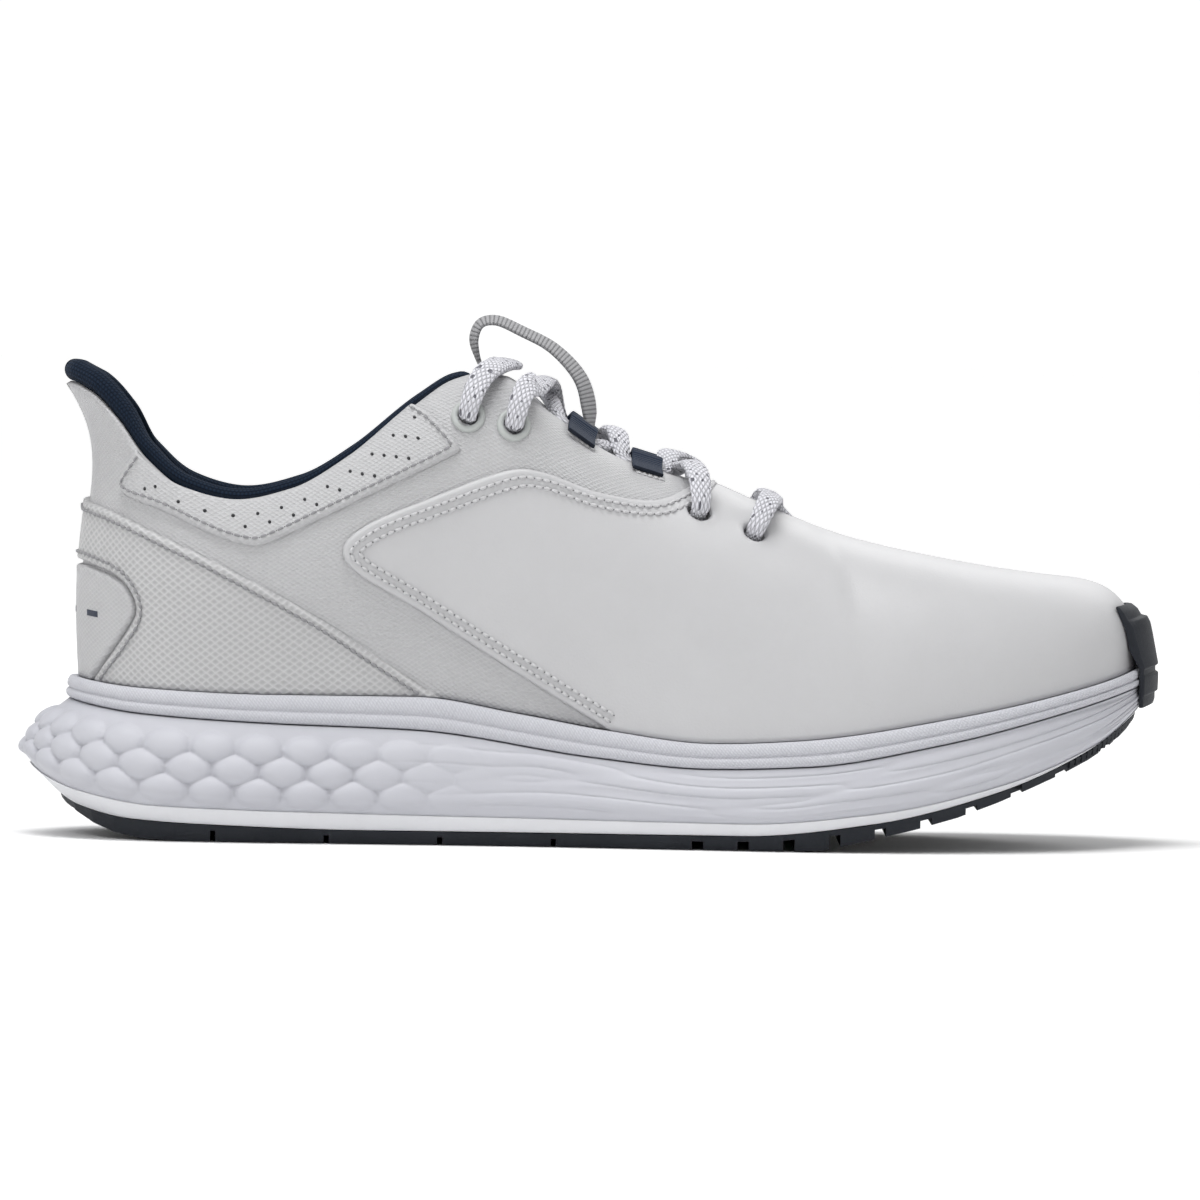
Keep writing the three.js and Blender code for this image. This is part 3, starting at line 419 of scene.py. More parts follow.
def slanted(tree, u, v, long, tall):
    """Counts of two sets of slanting lines, whose cells are long by tall millimetres."""
    along = times(tree, u, 1 / long)
    up = times(tree, v, 1 / tall)
    return plus(tree, along, up), math_node(tree, "SUBTRACT", along, up)


def rhombic_emboss(tree, u, v):
    """Flat rhombs 2.1 mm long and 1.25 mm high, with thin raised lines between them."""
    a, b = slanted(tree, u, v, 2.1, 1.25)
    flat = times(tree, wave(tree, a, 1, 0.3), wave(tree, b, 1, 0.3))
    return math_node(tree, "SUBTRACT", 1.0, flat)


def diamond_emboss(tree, u, v):
    """Sunken diamonds 2.8 mm long and 2 mm high, with narrow raised bars between them."""
    a, b = slanted(tree, u, v, 2.8, 2.0)
    pit = times(tree, wave(tree, a, 1, 0.8), wave(tree, b, 1, 0.8))
    return math_node(tree, "SUBTRACT", 1.0, pit)


def foam_material():
    m, tree, shader = node_material("midsole_foam", (0.504, 0.504, 0.538), 0.5, specular_ior_level=0.4)
    space = object_space(tree)
    broad = noise(tree, space, 30, 3)
    tint(tree, shader, broad, (0.458, 0.462, 0.504), (0.512, 0.517, 0.554))
    fine = noise(tree, space, 1800, 4, 0.7)
    vary_roughness(tree, shader, fine, 0.42, 0.6)
    bump(tree, shader, fine, 0.00008, 0.5)
    return m


def foxing_weave(tree, u, v):
    a = plus(tree, u, v)
    b = math_node(tree, "SUBTRACT", u, times(tree, v, 0.6))
    return times(tree, wave(tree, a, 0.9, 0.7), wave(tree, b, 1.1, 0.5))


def rubber_material():
    m, tree, shader = node_material("black_rubber", (0.012, 0.014, 0.02), 0.6, specular_ior_level=0.3)
    space = object_space(tree)
    broad = noise(tree, space, 60, 4)
    tint(tree, shader, broad, (0.006, 0.008, 0.012), (0.02, 0.023, 0.03))
    fine = noise(tree, space, 1500, 4, 0.7)
    vary_roughness(tree, shader, fine, 0.5, 0.75)
    bump(tree, shader, fine, 0.0001, 0.6)
    return m


def knit_material(name="navy_knit", dark=(0.0015, 0.004, 0.010), light=(0.008, 0.017, 0.034), pitch=1.1):
    m, tree, shader = node_material(
        name, dark, 0.9, sheen_weight=0.08, sheen_roughness=0.5, specular_ior_level=0.15,
    )
    shader.inputs["Sheen Tint"].default_value = (0.3, 0.4, 0.6, 1)
    u, v, _ = uv_space(tree)
    row = math_node(tree, "FLOOR", times(tree, v, 1 / pitch))
    shifted = plus(tree, u, times(tree, row, pitch / 2))
    loops = times(tree, wave(tree, shifted, pitch, 0.7), wave(tree, v, pitch, 0.7))
    fuzz = noise(tree, object_space(tree), 3500, 3, 0.8)
    height = plus(tree, loops, times(tree, fuzz, 0.4))
    # Colour follows the loops' height: darker between the loops, which is painted shade.
    tint(tree, shader, loops, dark, light)
    bump(tree, shader, height, 0.00025, 1.0)
    return m


def webbing_material(name, dark, light, pitch):
    """Woven ribbon with ribs across its length."""
    m, tree, shader = node_material(name, dark, 0.75, sheen_weight=0.05, specular_ior_level=0.25)
    u, v, _ = uv_space(tree)
    ribs = wave(tree, u, pitch, 0.6)
    threads = wave(tree, v, 0.45, 0.8)
    height = plus(tree, ribs, times(tree, threads, 0.3))
    # Colour follows the ribs' height: darker in the grooves between ribs, which is painted shade.
    tint(tree, shader, ribs, dark, light)
    bump(tree, shader, height, 0.00018, 1.0)
    return m


def lace_material():
    """A flat braid: small slanting strands in lengthwise columns, with dark flecks at regular places."""
    m, tree, shader = node_material(
        "lace_braid", (0.6, 0.6, 0.64), 0.7, sheen_weight=0.1, specular_ior_level=0.3,
    )
    u, v, uv = uv_space(tree)
    a, b = slanted(tree, u, v, 2.2, 1.5)
    braid = times(tree, wave(tree, a, 1, 0.55), wave(tree, b, 1, 0.55))
    fleck_a, fleck_b = slanted(tree, u, v, 4.4, 3.0)
    lattice = times(tree, wave(tree, fleck_a, 1, 1), wave(tree, fleck_b, 1, 1))
    broken = noise(tree, uv, 0.35, 1)
    level = plus(tree, times(tree, lattice, 0.35), broken)
    fleck = math_node(tree, "GREATER_THAN", level, 0.86)
    n = tree.nodes.new("ShaderNodeMix")
    n.data_type = "RGBA"
    n.inputs["A"].default_value = (0.74, 0.74, 0.79, 1)
    n.inputs["B"].default_value = (0.2, 0.2, 0.23, 1)
    tree.links.new(fleck, n.inputs["Factor"])
    # Darkens the colour where the braid is low, between the strands: painted shade.
    shade = tree.nodes.new("ShaderNodeMix")
    shade.data_type = "RGBA"
    shade.blend_type = "MULTIPLY"
    shade.inputs["Factor"].default_value = 0.38
    tree.links.new(n.outputs["Result"], shade.inputs["A"])
    tree.links.new(braid, shade.inputs["B"])
    tree.links.new(shade.outputs["Result"], shader.inputs["Base Color"])
    bump(tree, shader, braid, 0.00045, 1.0)
    return m


def plain_fabric(name, dark, light, scale=900):
    m, tree, shader = node_material(name, dark, 0.85, sheen_weight=0.2)
    space = object_space(tree)
    fine = noise(tree, space, scale, 4, 0.7)
    tint(tree, shader, fine, dark, light)
    bump(tree, shader, fine, 0.00015, 0.8)
    return m


LEATHER = smooth_leather()
RIPSTOP = emboss_material("rhombic_emboss", rhombic_emboss, 0.00022, (0.46, 0.46, 0.47), (0.55, 0.55, 0.56))
DIAMOND = emboss_material(
    "diamond_emboss", diamond_emboss, 0.0002, (0.38, 0.38, 0.385), (0.53, 0.53, 0.535), (0.38, 0.55),
)
FOAM = foam_material()
FOXING = emboss_material("foxing_weave", foxing_weave, 0.00012, (0.47, 0.475, 0.515), (0.56, 0.565, 0.605))
RUBBER = rubber_material()
KNIT = knit_material()
LINING = knit_material("lining_mesh", (0.003, 0.006, 0.013), (0.011, 0.019, 0.034), 1.6)
NAVY_WEB = webbing_material("navy_webbing", (0.0015, 0.004, 0.011), (0.013, 0.024, 0.05), 1.0)
GREY_WEB = webbing_material("grey_webbing", (0.10, 0.10, 0.105), (0.34, 0.34, 0.35), 1.1)
LACE = lace_material()
THREAD = plain_fabric("stitch_thread", (0.45, 0.45, 0.46), (0.60, 0.60, 0.61), 2500)
DARK_THREAD = plain_fabric("dark_thread", (0.20, 0.20, 0.21), (0.33, 0.33, 0.34), 2500)
# Dark colour for the blocks at the needle holes: painted shade inside the holes.
NEEDLE_SHADE = plain_fabric("needle_hole_shade", (0.12, 0.12, 0.125), (0.18, 0.18, 0.185), 1500)
RING = smooth_leather("eyelet_ring", (0.40, 0.42, 0.41), (0.45, 0.47, 0.46))
# Near-black colour for blocks that stand for the shade inside perforations: painted shade.
HOLE_SHADE = plain_fabric("hole_painted_shade", (0.012, 0.012, 0.014), (0.03, 0.03, 0.032))
BOARD = plain_fabric("insole_board", (0.42, 0.36, 0.26), (0.5, 0.44, 0.33), 700)


# ---------------------------------------------------------------- meshes

def add_to_scene(o):
    bpy.context.scene.collection.objects.link(o)


def make_object(name, verts, faces, material, uv=None, smooth=True, body="shoe", replaces=(), slot=None):
    """A piece from points in millimetres."""
    mesh = bpy.data.meshes.new(name)
    mesh.from_pydata(
        [tuple(v) for v in np.asarray(verts) * MM], [], [tuple(int(i) for i in f) for f in faces]
    )
    mesh.validate()
    if uv is not None:
        layer = mesh.uv_layers.new(name="surface")
        corners = np.zeros(len(mesh.loops), np.int32)
        mesh.loops.foreach_get("vertex_index", corners)
        layer.data.foreach_set("uv", np.asarray(uv, np.float32)[corners].ravel())
    mesh.polygons.foreach_set("use_smooth", [smooth] * len(mesh.polygons))
    mesh.materials.append(material)
    mesh.update()
    o = bpy.data.objects.new(name, mesh)
    add_to_scene(o)
    if replaces:
        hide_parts(*replaces)
    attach(o, body)
    return o


def grid_faces(rows, columns, close_rows=False, close_columns=False):
    faces = []
    for i in range(rows if close_rows else rows - 1):
        for j in range(columns if close_columns else columns - 1):
            a, b = i * columns + j, ((i + 1) % rows) * columns + j
            c, d = ((i + 1) % rows) * columns + (j + 1) % columns, i * columns + (j + 1) % columns
            faces.append((a, b, c, d))
    return faces


def turned_out(verts, faces):
    """The faces of a closed mesh, turned so that they point outwards."""
    p = np.asarray(verts, float)
    volume = 0.0
    for f in faces:
        for k in range(1, len(f) - 1):
            volume += np.dot(p[f[0]], np.cross(p[f[k]], p[f[k + 1]]))
    return faces if volume > 0 else [tuple(reversed(f)) for f in faces]


def add_block(verts, faces, points, block):
    """Adds a closed block to the points and faces of a mesh, with its faces turned outwards."""
    start = len(verts)
    faces += [tuple(start + i for i in f) for f in turned_out(points, block)]
    verts += list(points)


def prism(count):
    """Faces of a block between two rings of points."""
    ends = [tuple(range(count)), tuple(range(2 * count - 1, count - 1, -1))]
    return grid_faces(2, count, close_columns=True) + ends


def closed_sheet(top, under):
    """Points and faces of a closed sheet between two grids of points that face each other."""
    n, m = top.shape[:2]
    faces = grid_faces(n, m)
    faces += [tuple(i + n * m for i in reversed(f)) for f in faces]
    ring = [i * m for i in range(n)] + [(n - 1) * m + j for j in range(1, m)]
    ring += [i * m + m - 1 for i in range(n - 2, -1, -1)] + [j for j in range(m - 2, 0, -1)]
    for a, b in zip(ring, ring[1:] + ring[:1]):
        faces.append((b, a, a + n * m, b + n * m))
    verts = np.vstack([top.reshape(-1, 3), under.reshape(-1, 3)])
    return verts, turned_out(verts, faces)


# ---------------------------------------------------------------- panels of the upper

def to_uv(sigma, h):
    """Signed station (negative on the outer side) and height to millimetres on the surface."""
    uv = surface_uv(np.abs(sigma), h)
    uv[..., 0] *= np.where(np.asarray(sigma) < 0, -1, 1)
    return uv


def from_uv(uv):
    u = np.abs(uv[:, 0])
    s = np.interp(u, LENGTH_AT, TABLE_S)
    row = np.clip(s / STATIONS * (len(TABLE_S) - 1), 0, len(TABLE_S) - 1.001)
    a = row.astype(int)
    f = (row - a)[:, None]
    rises = RISE_AT[a] * (1 - f) + RISE_AT[a + 1] * f
    h = np.array([np.interp(v, rise, TABLE_H) for v, rise in zip(uv[:, 1], rises)])
    return np.where(uv[:, 0] < 0, -s, s), h


def on_shoe(sigma, h, out):
    return off_surface(np.abs(sigma), h, np.where(np.asarray(sigma) < 0, -1.0, 1.0), out)


def distance_to(points, line):
    """Shortest distance from each point to a polyline, in the plane."""
    a, b = line[:-1], line[1:]
    ab = b - a
    best = np.full(len(points), 1e9)
    for k in range(len(a)):
        ap = points - a[k]
        t = np.clip(ap @ ab[k] / max(ab[k] @ ab[k], 1e-12), 0, 1)
        best = np.minimum(best, np.linalg.norm(ap - t[:, None] * ab[k], axis=1))
    return best


def inside(points, loop):
    x, y = points[:, 0], points[:, 1]
    hit = np.zeros(len(points), bool)
    a, b = loop, np.roll(loop, -1, axis=0)
    for (xa, ya), (xb, yb) in zip(a, b):
        crosses = (ya > y) != (yb > y)
        if ya != yb:
            hit ^= crosses & (x < (xb - xa) * (y - ya) / (yb - ya) + xa)
    return hit


def resampled(line, step):
    d = lengths_along(line)
    count = max(2, int(round(d[-1] / step)) + 1)
    at = np.linspace(0, d[-1], count)
    return np.stack([np.interp(at, d, line[:, k]) for k in range(line.shape[1])], -1)


def inset(line, distance, step=0.6):
    """A line beside another in the plane, to its left for a positive distance."""
    p = resampled(line, step)
    along = unit_rows(np.gradient(p, axis=0))
    moved = p + np.stack([-along[:, 1], along[:, 0]], -1) * distance
    return moved[distance_to(moved, p) > abs(distance) * 0.97]


def side_outline(rows, step=1.2):
    """A side-view line as signed stations and heights on the outer side."""
    sh = place_on_upper(spline(rows, step))
    keep = [0]
    for i in range(1, len(sh)):
        if np.linalg.norm(np.diff(to_uv(sh[[keep[-1], i], 0], sh[[keep[-1], i], 1]), axis=0)) > 0.35:
            keep.append(i)
    return sh[keep]


EDGE_RISE = through([[0, -1.6], [0.15, -0.9], [0.4, -0.25], [0.8, 0.12], [1.3, 0.2], [2.2, 0.1], [3.2, 0]])
RINGS = (0.15, 0.4, 0.8, 1.3, 2.2)


def panel(name, loop, free, material, grid=1.3, out_of=EDGE_RISE, low=-1.6, holes=(), mirror=False, **kept):
    """A sewn-on panel. loop is its outline in signed stations and heights; free are the edges that show."""
    outline = to_uv(loop[:, 0], loop[:, 1])
    free_uv = [to_uv(line[:, 0], line[:, 1]) for line in free]
    hole_uv = list(holes)
    lines = free_uv + [np.vstack([hole, hole[:1]]) for hole in hole_uv]
    low_u, high_u = outline.min(axis=0), outline.max(axis=0)
    nu, nv = int((high_u[0] - low_u[0]) / grid) + 2, int((high_u[1] - low_u[1]) / (grid * 0.87)) + 2
    gu, gv = np.meshgrid(np.arange(nu), np.arange(nv), indexing="ij")
    points = np.stack([low_u[0] + (gu + (gv % 2) * 0.5) * grid, low_u[1] + gv * grid * 0.87], -1)
    points = points.reshape(-1, 2)
    closed = np.vstack([outline, outline[:1]])
    points = points[inside(points, outline)]
    points = points[distance_to(points, closed) > 0.5 * grid]
    if lines:
        gap = np.min([distance_to(points, line) for line in lines], axis=0)
        points = points[gap > RINGS[-1] + 0.35 * grid]
    for line in lines:
        for ring in RINGS:
            for sign in (1, -1):
                row = inset(line, sign * ring, 0.45 + ring * 0.4)
                row = row[inside(row, outline)]
                row = row[distance_to(row, closed) > 0.1] if len(row) else row
                for hole in hole_uv:
                    row = row[~inside(row, hole)] if len(row) else row
                if len(row):
                    near = np.min([distance_to(row, other) for other in lines], axis=0)
                    points = np.vstack([points, row[near > ring * 0.96]])
    for hole in hole_uv:
        points = points[~inside(points, hole)]
    verts = [Vector(p) for p in np.vstack([outline] + hole_uv + [points])]
    edges = []
    start = 0
    for ring in [outline] + hole_uv:
        edges += [(start + i, start + (i + 1) % len(ring)) for i in range(len(ring))]
        start += len(ring)
    out_verts, _, faces, _, _, _ = delaunay_2d_cdt(verts, edges, [], 1, 1e-5)
    uv = np.array([tuple(v) for v in out_verts])
    faces = np.array([f for f in faces if len(f) == 3])
    for hole in hole_uv:
        faces = faces[~inside(uv[faces].mean(axis=1), hole)]
    sigma, h = from_uv(uv)
    distance = np.min([distance_to(uv, line) for line in lines], axis=0) if lines else np.full(len(uv), 9.0)
    out = out_of(distance)
    used = np.unique(faces)
    index = np.full(len(uv), -1)
    index[used] = np.arange(len(used))
    uv, sigma, h, out, faces = uv[used], sigma[used], h[used], out[used], index[faces]
    side_edges = {}
    for f in faces:
        for a, b in ((f[0], f[1]), (f[1], f[2]), (f[2], f[0])):
            side_edges[(a, b)] = side_edges.get((a, b), 0) + 1
    under = np.arange(len(uv)) + len(uv)
    made = []
    for side in SIDES if mirror else (None,):
        turned = sigma if side is None else np.abs(sigma) * side
        top = on_shoe(turned, h, out)
        floor = on_shoe(turned, h, np.minimum(out, low))
        closed_faces = [tuple(f) for f in faces] + [tuple(under[f[::-1]]) for f in faces]
        for a, b in side_edges:
            if (b, a) not in side_edges:
                closed_faces.append((b, a, under[a], under[b]))
        both = np.vstack([top, floor])
        closed_faces = turned_out(both, closed_faces)
        label = name if side is None else f"{name}_{SIDE_NAME[side]}"
        extra = dict(kept)
        if side is not None and "replaces" in kept:
            extra["replaces"] = tuple(node.format(SIDE_NAME[side]) for node in kept["replaces"])
        made.append(make_object(label, both, closed_faces, material, np.vstack([uv, uv]), **extra))
    return made


def tube_frames(points, ups):
    along = np.gradient(points, axis=0)
    along = unit_rows(along)
    ups = ups - np.sum(ups * along, axis=1, keepdims=True) * along
    ups = unit_rows(ups)
    return along, ups, np.cross(along, ups)


STITCH_BODY = [
    (-0.5, 0.15, -0.5), (-0.42, 0.75, 0.05), (-0.2, 1, 0.6), (0.2, 1, 0.6), (0.42, 0.75, 0.05),
    (0.5, 0.15, -0.5),
]
THREAD_SIDES = 6
NEEDLE_R = 0.2
NEEDLE_DEPTHS = (0.08, -0.35)


def stitches(name, paths, material, pitch=2.2, length=1.9, radius=0.42, lift=0.02, replaces=(), body="shoe"):
    """Rows of single stitches. Each path is points and normals in millimetres."""
    verts, faces = [], []
    pierced, pierced_faces = [], []
    for points, normals in paths:
        d = lengths_along(points)
        count = max(1, int(d[-1] / pitch))
        middle = (np.arange(count) + 0.5) * d[-1] / count

        def at(x, table):
            return np.stack([np.interp(x, d, table[:, k]) for k in range(3)], -1)

        centre, normal = at(middle, points), at(middle, normals)
        ahead = at(middle + 0.4, points) - at(middle - 0.4, points)
        ahead = unit_rows(ahead)
        normal -= np.sum(normal * ahead, axis=1, keepdims=True) * ahead
        normal = unit_rows(normal)
        across = np.cross(ahead, normal)
        for c, a, n, w in zip(centre, ahead, normal, across):
            # A small dark block at each needle hole, which is painted shade in the hole.
            hole = c + a * pitch / 2
            block = []
            for depth in NEEDLE_DEPTHS:
                for k in range(THREAD_SIDES):
                    angle = 2 * math.pi * k / THREAD_SIDES
                    ray = a * math.cos(angle) + w * math.sin(angle)
                    block.append(hole + n * depth + ray * NEEDLE_R)
            add_block(pierced, pierced_faces, block, prism(THREAD_SIDES))
            start = len(verts)
            for share, size, up in STITCH_BODY:
                ring = c + a * (share * length) + n * (radius * up + lift)
                for k in range(THREAD_SIDES):
                    angle = 2 * math.pi * k / THREAD_SIDES
                    verts.append(ring + (w * math.cos(angle) * 1.15 + n * math.sin(angle)) * radius * size)
            rings = len(STITCH_BODY)
            faces += [
                tuple(start + i for i in f) for f in grid_faces(rings, THREAD_SIDES, close_columns=True)
            ]
            faces.append(tuple(start + k for k in range(THREAD_SIDES - 1, -1, -1)))
            faces.append(tuple(start + (rings - 1) * THREAD_SIDES + k for k in range(THREAD_SIDES)))
    make_object(f"{name}_holes", pierced, pierced_faces, NEEDLE_SHADE, smooth=False, body=body)
    return make_object(name, verts, faces, material, body=body, replaces=replaces)


def seam_path(line_uv, side=None, out=0.1):
    """A line on the surface as points and normals, for a row of stitches."""
    line = resampled(np.asarray(line_uv), 0.8)
    sigma, h = from_uv(line)
    keep = (h > 0.004) & (h < 0.999)
    sigma, h = sigma[keep], h[keep]
    turned = sigma if side is None else np.abs(sigma) * side
    base = on_shoe(turned, h, np.full(len(h), out))
    return base, on_shoe(turned, h, np.full(len(h), out + 1)) - base


def row_within(line, distance, outline):
    """A line beside another, on the side that lies within an outline."""
    row = inset(line, distance)
    if not inside(row[len(row) // 2][None], outline)[0]:
        row = inset(line, -distance)
    return row


VAMP_EDGE = [
    [27, 97.5], [23.9, 95.2], [15, 92], [0.6, 94], [-13.9, 98.9], [-24.3, 98.9], [-45, 91], [-60, 84.4],
    [-66.6, 78], [-63, 71.4], [-45.8, 61.2], [-19.7, 45], [4.7, 30.4],
]
STRAP_TOP = [
    [-137.6, 89.3], [-128, 86], [-113, 79.4], [-98, 72.5], [-73.5, 59.6], [-57.5, 49.4], [-38, 37],
]
PATCH_EDGE = [
    [-136.4, 72.9], [-128, 69.8], [-123.4, 65.6], [-121.7, 59.8], [-125, 53.5], [-131, 45.2], [-134.5, 40],
]
PANEL_EDGE = [
    [-122.5, 103.2], [-127.2, 94.8], [-125.4, 90.9], [-115, 87.2], [-101, 81], [-92.5, 78.6], [-86.8, 79.1],
    [-74.5, 84.9], [-60, 92], [-38.5, 102.6], [-36.4, 105.6], [-43.5, 113.4], [-48.6, 116.6],
]
EYELETS = place_on_upper([[-34, 113.6], [-21.7, 111.4], [27.5, 89], [42.2, 83.6]])
EYELET_HOLE_R = 2.75
QUARTER_END = 7.3
VAMP_SEAMS = (2.5, 4.7)
STRAP_SEAM = 2.3
COLLAR_SEAM = 1.9


def eyelet_hole(index, side, radius=EYELET_HOLE_R, points=28):
    centre = to_uv(EYELETS[index, 0] * side, EYELETS[index, 1])
    angle = np.linspace(0, 2 * np.pi, points, endpoint=False)
    return centre + np.stack([np.cos(angle), np.sin(angle)], -1) * radius


def along_height(s_from, s_to, h, step=1.2):
    """Signed stations at one height, spaced evenly on the surface."""
    span = abs(np.interp(abs(s_to), TABLE_S, LENGTH_AT) - np.interp(abs(s_from), TABLE_S, LENGTH_AT))
    if s_from * s_to < 0:
        span = np.interp(abs(s_to), TABLE_S, LENGTH_AT) + np.interp(abs(s_from), TABLE_S, LENGTH_AT)
    s = np.linspace(s_from, s_to, max(2, int(span / step) + 1))
    return np.stack([s, np.full(len(s), h)], -1)


quarter_rise = through([
    [0, QUARTER_OUT - 0.35], [0.4, QUARTER_OUT - 0.1], [0.8, QUARTER_OUT], [9, QUARTER_OUT],
])


def make_quarters():
    for side in SIDES:
        end = QUARTER_END
        bottom = along_height(0, -end, 0)
        front = np.stack([np.full(20, -end), np.linspace(0, 1, 22)[1:-1]], -1)
        top = along_height(-end, 0, 1)
        back = np.stack([np.zeros(30), np.linspace(1, 0, 32)[1:-1]], -1)
        loop = np.vstack([bottom, front, top, back])
        loop[:, 0] *= -side
        holes = [eyelet_hole(i, side) for i in range(4)]
        if side > 0:
            holes = [hole[::-1] for hole in holes]
        panel(
            f"quarter_shell_{SIDE_NAME[side]}", loop, [], RIPSTOP, grid=1.6, holes=holes, low=QUARTER_IN,
            out_of=quarter_rise,
            replaces=(f"quarter_{SIDE_NAME[side]}",), slot="synthetic_leather_ripstop",
        )


def make_vamp():
    edge = side_outline(VAMP_EDGE)
    edge = edge[(edge[:, 1] < 0.996) & (edge[:, 1] > 0.004)]
    start = np.array([[edge[0, 0] + 0.01, 1.0]])
    finish = np.array([[edge[-1, 0] + 0.02, 0.0]])
    edge = np.vstack([start, edge, finish]) * [-1, 1]
    bottom = along_height(edge[-1, 0], -STATIONS, 0)[1:]
    toe = np.stack([np.full(40, -float(STATIONS)), np.linspace(0, 1, 42)[1:-1]], -1)
    top = along_height(-STATIONS, edge[0, 0], 1)[:-1]
    loop = np.vstack([edge, bottom, toe, top])
    throat = along_height(-THROAT_END, edge[0, 0], 1)
    holes = [eyelet_hole(i, LATERAL) for i in (2, 3)]
    halves = panel(
        "vamp_upper", loop, [edge, throat], LEATHER, grid=1.7, holes=holes, low=-OVERLAY - 0.1, mirror=True,
    )
    vamp, other = halves
    both = bmesh.new()
    both.from_mesh(vamp.data)
    both.from_mesh(other.data)
    bmesh.ops.remove_doubles(both, verts=both.verts, dist=0.03 * MM)
    twins = [
        f for f in both.faces if len({round(v.co.y, 7) for v in f.verts}) == 1 and abs(f.normal.y) > 0.999
    ]
    bmesh.ops.delete(both, geom=twins, context="FACES_ONLY")
    both.to_mesh(vamp.data)
    both.free()
    vamp.name = "vamp_upper"
    bpy.data.objects.remove(other)
    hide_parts("vamp")
    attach(vamp, "shoe")
    line, outline = to_uv(*edge.T), to_uv(*loop.T)
    rows = [seam_path(row_within(line, d, outline), side) for d in VAMP_SEAMS for side in SIDES]
    stitches("vamp_stitching", rows, THREAD, pitch=2.15)


def make_strap():
    top = side_outline(STRAP_TOP)
    top = top[(top[:, 1] > 0.004) & (top[:, 0] > 0.03)]
    front = np.array([[top[-1, 0] + 0.03, 0.0]])
    heel_h = place_on_upper([[-138.6, 89.6]])[0, 1]
    lateral = np.vstack([[[0.0, heel_h]], top, front])
    ring_top = np.vstack([lateral[::-1] * [-1, 1], lateral[1:]])
    patch = side_outline(PATCH_EDGE)
    patch = patch[(patch[:, 1] > 0.004) & (patch[:, 0] > 0.03)]
    patch_h = place_on_upper([[-138.3, 73.1]])[0, 1]
    low_end = np.array([[patch[-1, 0] - 0.01, 0.0]])
    patch_side = np.vstack([[[0.0, patch_h]], patch, low_end])
    ring_patch = np.vstack([patch_side[::-1] * [-1, 1], patch_side[1:]])
    medial_foot = along_height(ring_top[-1, 0], ring_patch[-1, 0], 0)[1:-1]
    lateral_foot = along_height(ring_patch[0, 0], ring_top[0, 0], 0)[1:-1]
    loop = np.vstack([ring_top, medial_foot, ring_patch[::-1], lateral_foot])
    panel(
        "heel_strap_wrap", loop, [ring_top, ring_patch], DIAMOND, grid=1.4,
        replaces=("heel_strap",), slot="synthetic_leather_diamond",
    )
    top_uv, patch_uv, inner = to_uv(*ring_top.T), to_uv(*ring_patch.T), to_uv(*loop.T)
    rows = [seam_path(row_within(line, STRAP_SEAM, inner)) for line in (top_uv, patch_uv)]
    stitches("strap_stitching", rows, DARK_THREAD, pitch=2.2)
    shrunk = inset(resampled(patch_uv, 0.8), 0.7)
    if inside(shrunk[len(shrunk) // 2][None], inner)[0]:
        shrunk = inset(resampled(patch_uv, 0.8), -0.7)
    sigma, h = from_uv(shrunk)
    tab = np.stack([sigma, h], -1)[h > 0.004]
    tab = np.vstack([[[tab[0, 0], 0.0]], tab, [[tab[-1, 0], 0.0]]])
    foot = along_height(tab[-1, 0], tab[0, 0], 0)[1:-1]
    panel(
        "heel_patch_tab", np.vstack([tab, foot]), [tab], RIPSTOP, grid=1.4,
        replaces=("heel_patch",), slot="synthetic_leather_smooth",
    )
    make_dashes()


BAR_PITCH = 15.5
BAR_LENGTH = 5.2
BAR_HEIGHT = 1.6


def make_dashes():
    """Three short plain bars across the heel patch."""
    mid = place_on_upper([[-138, 60]])[0, 1]
    verts, faces = [], []
    for middle in (-BAR_PITCH, 0, BAR_PITCH):
        u = np.linspace(middle - BAR_LENGTH / 2, middle + BAR_LENGTH / 2, 9)
        v = to_uv(np.array([0.0]), np.array([mid]))[0, 1] + np.linspace(-BAR_HEIGHT / 2, BAR_HEIGHT / 2, 4)
        grid = np.stack(np.meshgrid(u, v, indexing="ij"), -1)
        sigma, h = from_uv(grid.reshape(-1, 2))
        top, under = (on_shoe(sigma, h, np.full(len(h), out)).reshape(9, 4, 3) for out in (0.1, -0.2))
        add_block(verts, faces, *closed_sheet(top, under))
    make_object("heel_patch_bars", verts, faces, PRINT_NAVY, smooth=False)


